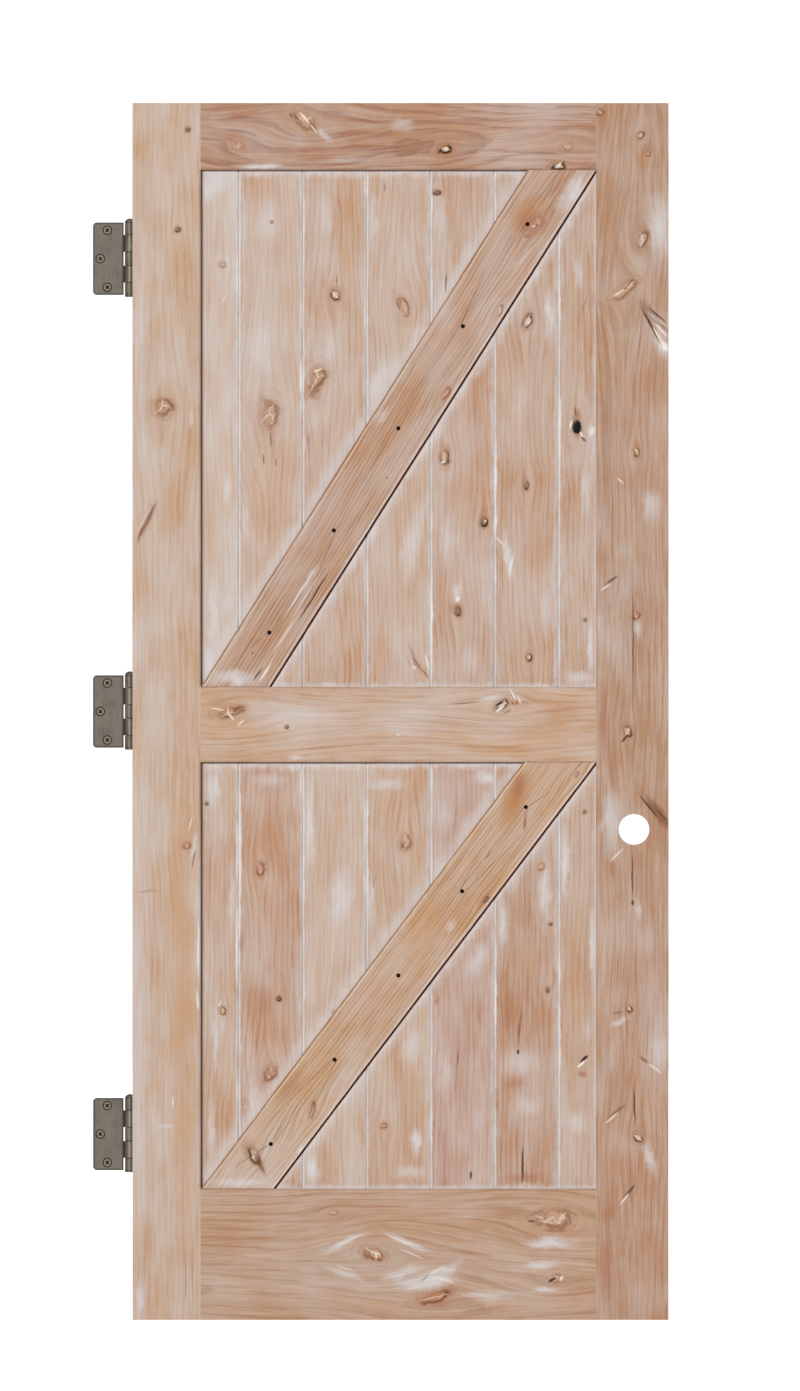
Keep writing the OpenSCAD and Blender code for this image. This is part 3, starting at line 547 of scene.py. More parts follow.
# Rails: the top, lock and bottom rails run between the stiles on hidden dowels. Their grain
# lies level, the top and bottom ones are slash-sawn with bold arches, and each has large knots.
top_rail_alder = whitewashed_alder(
    "top rail alder", lean=90, wood="#B98B6C", dark="#91644C", chalk=0.19, seed=3.0,
    streak=0.75, ring=0.42, heart=-2062.0, rise=0.05, pitch=11.0, sway=30.0,
    knots=[
        (305, 121, 26, 12, -48, "faint", 0.9), (239, 146, 12, 6, 0, "faint", 0.6),
        (445, 149, 9, 7, 0, "eye", 1.0), (567, 146, 11, 8, 0, "faint", 0.7),
        (557, 166, 13, 6, 0, "eye", 0.85),
    ],
    marks=[
        ("cream", 305, 118, 17, 1.8, -52, 0.95), ("umber", 297, 118, 20, 2.6, -50, 0.65),
        ("umber", 312, 125, 16, 2, -50, 0.65), ("cream", 314, 129, 12, 1.5, -52, 0.7),
        ("check", 291, 115, 6, 2, -60, 0.6), ("chalk", 325, 135, 26, 9, -35, 0.9),
        ("chalk", 262, 167, 54, 9, 0, 1.0), ("chalk", 402, 124, 30, 18, 0, 0.6),
        ("check", 226, 171, 6, 2, 0, 0.8), ("amber", 445, 150, 28, 16, 0, 0.45),
        ("check", 440, 151, 7, 1.8, 58, 0.8), ("check", 450, 147, 7, 1.6, -50, 0.7),
        ("lime", 446, 149, 5, 2.4, 20, 0.8), ("check", 553, 167, 8, 2.2, 50, 0.85),
        ("lime", 559, 165, 7, 2.2, 55, 0.85), ("check", 563, 163, 6, 1.6, 60, 0.7),
        ("chalk", 345, 160, 60, 8, 0, 0.4), ("umber", 470, 120, 120, 5, 2, 0.3),
        ("umber", 520, 152, 90, 4, -3, 0.3),
    ],
)
finish_board("top_rail", top_rail_alder)
lock_rail_alder = whitewashed_alder(
    "lock rail alder", lean=90, wood="#CCA27E", dark="#A87C5A", chalk=0.34, seed=4.0,
    ring=0.3, heart=-1240.0, pitch=10.0, sway=24.0,
    knots=[
        (228, 712, 24, 8, 8, "star", 0.8), (287, 727, 3, 3, 0, "dark", 0.8),
        (502, 705, 14, 7, 30, "white", 0.95), (515, 702, 5, 4, 0, "red", 0.8),
    ],
    marks=[
        ("chalk", 290, 714, 130, 44, 0, 0.5), ("cream", 218, 709, 16, 1.4, -8, 0.7),
        ("cream", 231, 716, 12, 1.8, -50, 0.8), ("cream", 241, 723, 10, 1.8, 35, 0.7),
        ("umber", 238, 708, 8, 2, 40, 0.5), ("chalk", 296, 757, 20, 6, 0, 0.8),
        ("check", 464, 703, 34, 1.3, 4, 0.5), ("check", 499, 704, 11, 2.2, 35, 0.95),
        ("lime", 500, 709, 13, 3, 38, 0.9), ("lime", 513, 695, 16, 1.8, -60, 0.7),
        ("lime", 519, 700, 12, 1.6, -70, 0.6), ("umber", 507, 712, 12, 1.8, 30, 0.6),
        ("rust", 522, 703, 20, 5, 0, 0.6), ("chalk", 492, 698, 28, 6, 0, 0.7),
        ("chalk", 400, 728, 40, 20, 0, 0.4), ("lime", 398, 735, 3, 2.2, 0, 0.6),
        ("tan", 550, 735, 70, 44, 0, 0.5),
    ],
)
finish_board("lock_rail", lock_rail_alder)
bottom_rail_alder = whitewashed_alder(
    "bottom rail alder", lean=90, wood="#C09774", dark="#9D7557", chalk=0.25, seed=5.0,
    spread=0.7, streak=0.6, ring=0.32, heart=-60.0, rise=0.03, pitch=12.0, sway=22.0,
    knots=[
        (375, 1255, 19, 11, -10, "swirl", 0.95), (435, 1296, 28, 9, 18, "red", 0.9),
        (553, 1219, 32, 19, 0, "faint", 1.0), (556, 1278, 12, 7, 35, "faint", 0.8),
        (333, 1213, 8, 5, 0, "faint", 0.7),
    ],
    marks=[
        ("chalk", 344, 1243, 60, 9, 24, 0.9), ("chalk", 408, 1243, 60, 9, -24, 1.0),
        ("chalk", 343, 1273, 56, 9, -20, 0.7), ("chalk", 402, 1273, 56, 11, 18, 0.9),
        ("chalk", 430, 1280, 62, 22, 5, 1.0), ("chalk", 375, 1256, 70, 34, 0, 0.45),
        ("scratch", 399, 1240, 34, 1.6, -24, 0.85), ("scratch", 412, 1254, 30, 1.6, -22, 0.7),
        ("scratch", 350, 1240, 30, 1.6, 24, 0.6), ("lime", 434, 1272, 26, 4, 28, 0.5),
        ("lime", 446, 1280, 22, 4, -20, 0.45), ("scratch", 414, 1288, 26, 3, 10, 0.6),
        ("chalk", 412, 1284, 44, 14, -8, 0.9), ("chalk", 448, 1268, 36, 14, 22, 0.9),
        ("scratch", 345, 1268, 26, 1.6, -18, 0.6), ("umber", 425, 1278, 16, 2, 40, 0.5),
        ("chalk", 550, 1243, 60, 14, 0, 0.9), ("chalk", 541, 1265, 44, 10, 0, 0.9),
        ("check", 552, 1280, 11, 2.4, 32, 0.95), ("cream", 561, 1278, 7, 2.2, 60, 0.95),
        ("check", 531, 1221, 8, 2.2, 5, 0.7), ("cream", 546, 1222, 18, 2.2, -8, 0.35),
        ("cream", 562, 1216, 12, 2, 38, 0.4), ("umber", 538, 1212, 24, 2.5, 25, 0.5),
        ("umber", 553, 1231, 34, 2.2, 0, 0.45), ("umber", 570, 1212, 22, 2.5, -25, 0.4),
        ("chalk", 545, 1290, 30, 8, 0, 0.8), ("chalk", 490, 1296, 70, 12, 0, 0.6),
        ("rust", 440, 1304, 40, 6, 12, 0.4),
    ],
)
finish_board("bottom_rail", bottom_rail_alder)

# Planks: seven tongued boards in each panel, V-jointed, standing loose in the frame's grooves.
# Paler and pinker than the frame, with whitewash packed into the V joints and the panel's corners.


def millimetres(node):
    """Lowest and highest corner of a node, in millimetres."""
    return [corner * 1000.0 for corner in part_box(node)]


BRACE_W = 101.6
PANELS = {"lower": ("bottom_rail", "lock_rail"), "upper": ("lock_rail", "top_rail")}
OPEN_LEFT = millimetres("hinge_stile")[1].x
OPEN_RIGHT = millimetres("lock_stile")[0].x


def brace_line(panel):
    """Lean of a panel's brace from upright in degrees, and the middle of its left and right edges."""
    low, high = millimetres(panel + "_brace")
    w, h = high.x - low.x, high.z - low.z
    lean = math.acos(BRACE_W / math.hypot(w, h)) - math.atan2(h, w)
    foot = BRACE_W / math.cos(lean)
    middle = (low.z + high.z) / 2
    return math.degrees(lean), (low.x + high.x - foot) / 2, (low.x + high.x + foot) / 2, middle


PLANKS = {
    "upper_plank_1": dict(
        wood="#D2AA86", dark="#B18870", chalk=0.6,
        knots=[(223, 264, 6, 5, 0, "red", 0.5)],
        marks=[
            ("chalk", 212, 186, 54, 34, 40, 1.0), ("chalk", 208, 668, 60, 18, 90, 0.9),
            ("chalk", 228, 488, 36, 9, 90, 0.8), ("chalk", 214, 620, 90, 16, 90, 0.7),
            ("chalk", 226, 262, 16, 8, 90, 0.6), ("cream", 224, 300, 10, 1.4, 70, 0.5),
        ],
    ),
    "upper_plank_2": dict(
        wood="#CDA37F", dark="#A87D65", chalk=0.45,
        knots=[(272, 222, 2.5, 2.5, 0, "dark", 0.6), (270, 415, 22, 13, 88, "star", 0.6)],
        marks=[
            ("chalk", 268, 222, 60, 34, 90, 0.55), ("rust", 270, 412, 26, 13, 88, 0.3),
            ("check", 271, 440, 18, 1.4, 90, 0.55), ("check", 264, 459, 12, 1.2, 90, 0.7),
            ("check", 276, 462, 9, 1.2, 90, 0.6), ("chalk", 246, 520, 70, 10, 90, 0.6),
            ("chalk", 262, 345, 60, 22, 90, 0.4),
        ],
    ),
    "upper_plank_3": dict(
        wood="#CA9E7A", dark="#A4785F", chalk=0.39,
        knots=[(336, 295, 9, 8, -60, "white", 0.95), (316, 380, 22, 14, 70, "star", 0.75)],
        marks=[
            ("cream", 318, 370, 11, 3, 20, 0.8), ("amber", 311, 389, 15, 11, 60, 0.6),
            ("rust", 320, 384, 18, 12, 60, 0.4), ("plum", 308, 440, 18, 7, 90, 0.45),
            ("check", 337, 280, 12, 1.2, 90, 0.5), ("chalk", 325, 215, 50, 26, 90, 0.5),
            ("chalk", 330, 350, 40, 16, 90, 0.5), ("tan", 345, 260, 60, 16, 90, 0.4),
        ],
    ),
    "upper_plank_4": dict(
        wood="#CBA17C", dark="#A37963", chalk=0.39,
        knots=[(404, 306, 16, 8, 110, "faint", 0.9)],
        marks=[
            ("check", 385, 188, 12, 1.2, 90, 0.5), ("check", 365, 415, 20, 1.6, 80, 0.75),
            ("umber", 398, 305, 15, 2, 112, 0.65), ("umber", 407, 315, 10, 2, 28, 0.6),
            ("plum", 405, 303, 15, 9, 100, 0.4), ("chalk", 380, 380, 70, 24, 62, 0.8),
            ("chalk", 372, 220, 70, 14, 90, 0.5), ("chalk", 412, 545, 90, 24, 80, 0.75),
            ("rust", 416, 662, 34, 9, -62, 0.5), ("umber", 411, 650, 18, 1.3, -64, 0.55),
            ("umber", 417, 663, 22, 1.5, -58, 0.7), ("umber", 425, 673, 14, 1.8, -54, 0.75),
            ("umber", 409, 662, 16, 1.2, -70, 0.45), ("cream", 414, 667, 6, 2.2, -40, 0.7),
            ("lime", 427, 662, 20, 3.4, -78, 0.6),
        ],
    ),
    "upper_plank_5": dict(
        wood="#C79B79", dark="#A07661", chalk=0.36,
        knots=[
            (436, 192, 7, 4, 0, "dark", 0.9), (445, 458, 7, 10, 0, "cream", 0.85),
            (484, 522, 6, 7, 0, "dark", 1.0), (458, 612, 6, 9, 20, "dark", 0.7),
        ],
        marks=[
            ("check", 446, 283, 24, 1.4, 90, 0.65), ("rust", 486, 512, 16, 3, 90, 0.6),
            ("lime", 485, 521, 3, 2.2, 0, 0.8), ("lime", 458, 599, 6, 5, 60, 0.85),
            ("lime", 443, 462, 5, 2.4, 40, 0.7), ("amber", 447, 450, 14, 6, 80, 0.5),
            ("chalk", 458, 592, 24, 12, 90, 0.8), ("plum", 458, 612, 12, 8, 90, 0.5),
            ("lime", 430, 620, 90, 4.5, 90, 0.75), ("chalk", 448, 540, 70, 22, 90, 0.55),
            ("chalk", 440, 215, 50, 14, 90, 0.6), ("chalk", 470, 660, 40, 24, 90, 0.5),
        ],
    ),
    "upper_plank_6": dict(
        wood="#C69A74", dark="#9E735B", chalk=0.35,
        knots=[
            (527, 321, 13, 7, 62, "white", 0.85), (526, 484, 4, 8, 0, "dark", 0.75),
            (529, 658, 5, 8, 0, "eye", 0.95),
        ],
        marks=[
            ("umber", 523, 322, 12, 1.8, 62, 0.7), ("lime", 529, 322, 9, 1.6, 62, 0.8),
            ("chalk", 508, 558, 54, 12, 100, 0.9), ("lime", 511, 566, 26, 3, 80, 0.7),
            ("scratch", 500, 541, 16, 1.6, -47, 0.8), ("chalk", 549, 315, 60, 12, 90, 0.85),
            ("chalk", 545, 610, 60, 14, 90, 0.5), ("chalk", 520, 400, 60, 22, 90, 0.35),
        ],
    ),
    "upper_plank_7": dict(
        wood="#C69C78", dark="#9E7460", chalk=0.35,
        knots=[(577, 427, 7, 10, 0, "hole", 1.0), (585, 620, 3, 3, 0, "dark", 0.7)],
        marks=[
            ("rust", 577, 414, 15, 9, 90, 0.7), ("chalk", 590, 432, 22, 9, 90, 0.95),
            ("lime", 592, 431, 10, 6, 70, 0.7), ("lime", 571, 424, 11, 2.2, 78, 0.85),
            ("cream", 581, 434, 6, 2.2, -60, 0.8), ("void", 577, 427, 15, 9, 80, 1.0),
            ("void", 583, 439, 7, 2, -50, 0.7), ("check", 575, 411, 10, 1.6, 95, 0.6),
            ("chalk", 590, 645, 74, 10, 90, 0.9), ("chalk", 580, 678, 34, 16, 0, 0.9),
            ("chalk", 585, 490, 66, 13, 90, 0.6), ("chalk", 578, 272, 44, 16, 90, 0.6),
            ("umber", 584, 305, 30, 2, 70, 0.35),
        ],
    ),
    "lower_plank_1": dict(
        wood="#CBA079", dark="#A47A62", chalk=0.39,
        knots=[(207, 804, 3, 3, 0, "dark", 0.8), (223, 1010, 5, 6, 30, "cream", 0.8)],
        marks=[
            ("chalk", 216, 1038, 72, 8, 90, 0.85), ("chalk", 214, 788, 50, 16, 90, 0.85),
            ("cream", 220, 1004, 7, 1.6, 60, 0.7), ("chalk", 232, 900, 110, 9, 90, 0.6),
            ("chalk", 212, 1130, 70, 12, 90, 0.6),
        ],
    ),
    "lower_plank_2": dict(
        wood="#C6966F", dark="#9E6F58", chalk=0.34,
        knots=[
            (260, 869, 7, 10, 0, "red", 0.8), (279, 999, 4, 4, 0, "dark", 0.95),
            (269, 1074, 9, 14, -30, "red", 0.7),
        ],
        marks=[
            ("rust", 262, 1002, 50, 30, 90, 0.45), ("rust", 242, 941, 40, 8, 90, 0.4),
            ("umber", 270, 1074, 16, 3, -60, 0.5), ("chalk", 252, 1104, 70, 14, 90, 0.75),
            ("chalk", 245, 1150, 60, 14, 90, 0.8), ("lime", 240, 850, 150, 4.5, 90, 0.6),
            ("chalk", 268, 780, 40, 20, 0, 0.5), ("chalk", 250, 1050, 50, 9, 90, 0.5),
        ],
    ),
    "lower_plank_3": dict(
        wood="#CCA27B", dark="#A67C63", chalk=0.45,
        knots=[(334, 1012, 3, 3, 0, "faint", 0.8)],
        marks=[
            ("chalk", 309, 822, 96, 13, 90, 0.95), ("chalk", 342, 896, 80, 30, 80, 0.8),
            ("chalk", 313, 1168, 40, 18, 90, 1.0), ("amber", 362, 1135, 66, 5, 90, 0.5),
            ("tan", 340, 820, 60, 22, 90, 0.4), ("lime", 302, 880, 90, 4, 90, 0.5),
        ],
    ),
    "lower_plank_4": dict(
        wood="#CB9F77", dark="#A27860", chalk=0.33,
        knots=[(406, 843, 10, 12, 0, "faint", 0.95), (385, 1126, 6, 5, 20, "red", 0.7)],
        marks=[
            ("umber", 403, 846, 12, 2.4, 60, 0.6), ("rust", 374, 883, 26, 3, 72, 0.6),
            ("chalk", 370, 905, 54, 13, 90, 0.95), ("lime", 366, 840, 90, 5, 90, 0.7),
            ("chalk", 416, 1144, 38, 13, 90, 0.9), ("chalk", 410, 1172, 40, 18, 0, 0.6),
            ("chalk", 411, 1044, 54, 26, 80, 0.7), ("chalk", 385, 785, 50, 14, 0, 0.6),
        ],
    ),
    "lower_plank_5": dict(
        wood="#C4977B", dark="#9D7265", chalk=0.35,
        knots=[(437, 1000, 3, 4, 0, "faint", 0.8)],
        marks=[
            ("chalk", 490, 777, 48, 20, 0, 0.95), ("rust", 480, 1012, 40, 6, 90, 0.5),
            ("check", 471, 1175, 10, 2, 90, 0.85), ("check", 458, 1058, 16, 1.2, 90, 0.5),
            ("chalk", 478, 958, 44, 20, 60, 0.8), ("chalk", 445, 1075, 60, 18, 90, 0.5),
            ("chalk", 446, 815, 40, 22, 90, 0.4), ("chalk", 480, 1120, 50, 14, 90, 0.4),
        ],
    ),
    "lower_plank_6": dict(
        wood="#C09370", dark="#986C58", chalk=0.27,
        knots=[
            (541, 866, 6, 6, 0, "faint", 0.9), (550, 924, 3, 3, 0, "dark", 0.85),
            (547, 990, 3, 4, 0, "dark", 0.85),
        ],
        marks=[
            ("chalk", 545, 890, 92, 14, 90, 0.8), ("umber", 519.5, 1028, 46, 2.4, 86, 0.75),
            ("check", 518, 1052, 6, 3, 90, 0.9), ("rust", 508, 1015, 50, 16, 90, 0.45),
            ("rust", 513, 1083, 32, 16, 0, 0.5), ("chalk", 520, 1062, 46, 30, 0, 0.6),
            ("chalk", 527, 1106, 42, 26, 0, 0.5), ("check", 522.5, 1165, 42, 2, 90, 0.85),
            ("rust", 523, 1178, 46, 13, 0, 0.55), ("chalk", 503, 925, 60, 14, 90, 0.85),
            ("rust", 553, 980, 36, 5, 90, 0.5), ("tan", 530, 960, 50, 20, 90, 0.5),
        ],
    ),
    "lower_plank_7": dict(
        wood="#C69E7B", dark="#9F7762", chalk=0.32,
        knots=[(585, 812, 3, 3, 0, "dark", 0.7)],
        marks=[
            ("chalk", 565, 865, 94, 12, 90, 1.0), ("chalk", 592, 945, 104, 7, 90, 0.95),
            ("check", 584, 1059, 13, 2.6, 38, 1.0), ("lime", 581, 1064, 12, 3, 38, 0.95),
            ("rust", 582, 1074, 12, 10, 0, 0.8), ("chalk", 574, 1122, 36, 30, 0, 0.7),
            ("tan", 578, 1000, 60, 14, 90, 0.5), ("chalk", 588, 1030, 30, 8, 90, 0.5),
        ],
    ),
}
# Stretches where whitewash is packed into the joints: spot in the photograph, half length and half
# width in mm, and cover
PACKED_JOINTS = {
    "upper": (
        (238, 278, 60, 3.6, 0.6), (238, 420, 50, 3.0, 0.2), (302, 190, 40, 3.4, 0.3),
        (302, 385, 60, 4.2, 0.8), (302, 316, 30, 3.4, 0.4), (366, 186, 40, 3.4, 0.4),
        (366, 312, 60, 3.6, 0.4), (366, 578, 30, 3.6, 0.4), (431, 212, 60, 3.4, 0.35),
        (431, 625, 110, 4.0, 0.7), (495, 480, 80, 4.0, 0.6), (495, 524, 24, 4.4, 0.8),
        (495, 575, 24, 3.6, 0.5), (559, 300, 50, 3.8, 0.4), (559, 430, 80, 4.2, 0.6),
        (559, 575, 30, 3.6, 0.4),
    ),
    "lower": (
        (238, 850, 70, 4.0, 0.6), (238, 940, 90, 4.4, 0.8), (238, 1090, 30, 4.0, 0.6),
        (302, 785, 50, 4.0, 0.6), (366, 825, 60, 4.0, 0.5), (366, 885, 26, 4.0, 0.5),
        (431, 780, 26, 3.6, 0.3), (431, 1125, 60, 3.6, 0.4), (495, 1000, 60, 4.0, 0.6),
        (495, 955, 40, 3.6, 0.4), (559, 1040, 90, 3.6, 0.4), (559, 970, 40, 3.4, 0.3),
    ),
}
# A packed stretch lies on both planks of its joint, so each plank takes those within this many mm
JOINT_REACH = 12.0
PLANK_COUNT = 7
# Strips run well past the panel, so that their faded ends fall outside it: times its height, and mm
PAST_HEIGHT, PAST_SIDES = 3, 400
# A thin line of whitewash follows the brace on the planks, this many mm away
BRACE_LIME_OFF = 6
PLANK_SEED = 10.0
# The heart of the log lies left of the first plank, and moves on from plank to plank, in mm
PLANK_HEART, PLANK_HEART_STEP = -700.0, 90
for number, (plank, look) in enumerate(PLANKS.items()):
    panel, index = plank.split("_plank_")
    index = int(index)
    last = index == PLANK_COUNT
    left = millimetres(plank)[0].x if index > 1 else OPEN_LEFT
    right = OPEN_RIGHT if last else millimetres(f"{panel}_plank_{index + 1}")[0].x
    foot_rail, head_rail = PANELS[panel]
    foot, head = millimetres(foot_rail)[1].z, millimetres(head_rail)[0].z
    lean, brace_left, brace_right, brace_mid = brace_line(panel)
    along_brace = 90 - lean
    lime_x = brace_right + BRACE_LIME_OFF * math.cos(math.radians(lean))
    lime_z = brace_mid - BRACE_LIME_OFF * math.sin(math.radians(lean))
    mid_x, mid_z = (left + right) / 2, (foot + head) / 2
    tall, broad = PAST_HEIGHT * (head - foot), PAST_SIDES
    # chalk at the foot, the head and both sides, whitewash in the two joints, and a dark line by one
    bands = [
        ("chalk", mid_x, foot, broad, 11, 0, 0.8),
        ("chalk", mid_x, head, broad, 17, 0, 0.85),
        ("chalk", left + 1, mid_z, tall, 10, 90, 0.4),
        ("chalk", right - 1, mid_z, tall, 9, 90, 0.35),
        ("joint", left, mid_z, tall, 4.4 if last else 3.7, 90, 0.62),
        ("joint", right, mid_z, tall, 3.4, 90, 0.3 if last else 0.58),
        ("umber", left + 5, mid_z, tall, 1.5, 90, 0.22),
    ]
    # chalk that sanding leaves beside the brace, and painted shadow on the planks where the brace, the
    # hinge stile and the rail above shade them
    edges = [
        ("chalk", brace_left, brace_mid, tall, 28, along_brace, 0.7),
        ("chalk", brace_right, brace_mid, tall, 24, along_brace, 0.7),
        ("grime", OPEN_LEFT, mid_z, tall, 5.0, 90, 0.72),
        ("grime", mid_x, head, broad, 4.0, 0, 0.6),
        ("lime", lime_x, lime_z, tall, 2.8, along_brace, 0.18),
        ("grime", brace_right, brace_mid, tall, 4.4, along_brace, 1.0),
    ]
    packed = [
        ("lime", px, py, long, wide, 90, cover) for px, py, long, wide, cover in PACKED_JOINTS[panel]
        if left - JOINT_REACH < on_door(px, py)[0] < right + JOINT_REACH
    ]
    look = dict(look, marks=look["marks"] + packed)
    alder = whitewashed_alder(
        plank.replace("_", " ") + " alder", lean=0, seed=PLANK_SEED + number,
        heart=PLANK_HEART + PLANK_HEART_STEP * number, spread=0.98, streak=0.48, ring=0.33,
        bands=bands, edges=edges, **look)
    finish_board(plank, alder)

# Braces: one flat board across each panel, cut to fit corner to corner and screwed to the planks.
# Browner alder with its grain along the board, and fine dark and cream lines.
BRACES = {
    "upper_brace": dict(
        wood="#C09371", dark="#92664A", chalk=0.28,
        knots=[
            (537, 222, 12, 8, 40, "faint", 0.6), (500, 310, 8, 5, 60, "white", 0.5),
            (446, 393, 9, 5, 60, "red", 0.8),
        ],
        marks=[
            ("amber", 526, 214, 52, 40, 57, 0.6), ("rust", 532, 224, 36, 30, 30, 0.95),
            ("rust", 538, 222, 20, 14, 0, 0.7), ("lime", 533, 226, 4, 1.8, 20, 0.6),
            ("check", 537, 225, 3, 1.5, 0, 0.6), ("chalk", 572, 190, 62, 24, 57, 1.0),
            ("umber", 556, 188, 34, 2, 58, 0.55), ("umber", 548, 192, 34, 1.6, 58, 0.45),
            ("umber", 527, 236, 9, 4, 30, 0.6), ("chalk", 381, 417, 24, 12, 60, 0.6),
            ("chalk", 522, 258, 40, 6, 57, 0.5), ("rust", 292, 549, 10, 2, 55, 0.7),
            ("check", 314, 596, 68, 1.6, 58, 0.9), ("check", 258, 674, 18, 1.4, 55, 0.8),
            ("lime", 300, 592, 70, 1.6, 58, 0.55), ("lime", 306, 596, 60, 1.4, 58, 0.5),
            ("lime", 284, 636, 44, 1.6, 57, 0.55), ("lime", 266, 672, 24, 1.8, 56, 0.85),
            ("chalk", 236, 678, 66, 20, 0, 0.85), ("chalk", 308, 580, 50, 12, 58, 0.5),
            ("check", 387, 478, 2, 2, 0, 0.7), ("check", 253, 653, 2, 2, 0, 0.7),
        ],
    ),
    "lower_brace": dict(
        wood="#CBA077", dark="#9E724C", chalk=0.31,
        knots=[
            (254, 1155, 14, 6, -62, "white", 0.95), (576, 775, 6, 3, 50, "red", 0.7),
            (486, 899, 6, 3, 40, "dark", 0.7), (313, 1110, 11, 4, 75, "red", 0.7),
        ],
        marks=[
            ("amber", 514, 798, 70, 30, 70, 0.95), ("rust", 518, 786, 40, 16, 80, 0.7),
            ("rust", 525, 818, 24, 4, 80, 0.95), ("umber", 525, 825, 14, 3, 80, 0.7),
            ("umber", 488, 855, 14, 2, 60, 0.6), ("chalk", 450, 926, 18, 10, 52, 0.5),
            ("rust", 290, 1088, 54, 22, 52, 0.45), ("umber", 313, 1104, 14, 3, 75, 0.5),
            ("chalk", 300, 1149, 12, 5, 52, 0.9), ("umber", 260, 1164, 30, 6, -62, 0.8),
            ("rust", 250, 1150, 34, 16, -62, 0.6), ("chalk", 240, 1182, 66, 10, 0, 0.85),
            ("tan", 420, 940, 120, 30, 53, 0.5),
        ],
    ),
}
BRACE_SEED = 30.0
# Length of the lines along a brace's edges, well past its ends, in mm
PAST_BRACE = 3000
for number, (brace, look) in enumerate(BRACES.items()):
    lean, left, right, mid_z = brace_line(brace.split("_")[0])
    along_brace = 90 - lean
    edges = [
        # a pale line along the right arris: a painted highlight, in whitewash colour
        ("lime", right - 3, mid_z, PAST_BRACE, 1.5, along_brace, 0.35),
        ("umber", left + 2, mid_z, PAST_BRACE, 1.5, along_brace, 0.6),
        ("cream", left + 6, mid_z, PAST_BRACE, 1.5, along_brace, 0.3),
    ]
    alder = whitewashed_alder(
        brace.replace("_", " ") + " alder", lean=lean, seed=BRACE_SEED + number, heart=-900.0,
        ring=0.5, pitch=6.0, streak=0.9, sway=8.0, edges=edges, **look)
    finish_board(brace, alder)

# Brace screws: five steel trim screws to a brace, driven through it into the planks and sunk in
# counterbores. Black oxide makes them a dull black, with a faint gloss that fine specks break up.
# Width of a speck in mm, coarser than the real ones so that they show
BLACK_SPECK = 1.0
black_oxide, tree = bare_material("black oxide steel")
place = add(tree, "TexCoord", out="Object")
speck = add(tree, "TexNoise", {"Vector": place, "Scale": 1000 / BLACK_SPECK, "Detail": 2.0})
rough = add(tree, "MapRange", {0: speck, 1: 0.3, 2: 0.7, 3: 0.45, 4: 0.65})
shader = add(tree, "BsdfPrincipled", {
    "Base Color": linear("#16130F"), "Metallic": 1.0, "Roughness": rough,
})
add(tree, "OutputMaterial", {"Surface": shader})
for panel in PANELS:
    coat(panel + "_brace_screws", black_oxide)

# Dowels: fluted beech pins glued into both boards, which join the rails to the stiles.
# They are hidden in the wood, so the alder's figure in beech's pale straw colours does for them.
beech = whitewashed_alder("beech dowel", lean=90, wood="#D9C3A0", dark="#B99B72", chalk=0.0, seed=50.0)
for rail in ("top", "lock", "bottom"):
    coat(rail + "_rail_dowels", beech)

# Hinges: three steel butt hinges with round corners, each two leaves rolled round one pin.
# Brushed upright and plated antique pewter: dull and brownish, with dark joints, and painted shade on the
# rims, in the necks and round the countersinks.
HINGES = ("top", "middle", "bottom")
# A leaf's width from the pin, where its neck ends, half its height, and the barrel's radius, in mm
LEAF_W, LEAF_NECK, LEAF_HALF_H, BARREL_R = 65.0, 11.4, 63.5, 9.05
# Where knuckles meet, up and down from the hinge's middle
KNUCKLE_ENDS = (12.0, 42.0)
# Each screw's distance from the pin, and up or down from the hinge's middle
LEAF_SCREWS = ((40.0, 50.0), (52.3, 0.0))
COUNTERSINK_R = 7.1
# How far the barrel's rubbed tone fades past its side
RUB_FADE = 0.3
# The brush lines' scale and their depth in metres, and the width of a patch of patina in mm
BRUSHED, BRUSH_DEEP = (1.0, 1.0, 1 / 70), 0.00005
PATINA_PATCH = 28
PEWTER_LOW, PEWTER_HIGH, RUBBED_LOW, RUBBED_HIGH = "#575047", "#746C61", "#6B6357", "#857C6D"
# the near-black tone of the painted shade, and the dirt in the knuckle joints
PAINTED_SHADE_TONE, SEAM_DIRT = "#0F0C09", "#2E2822"


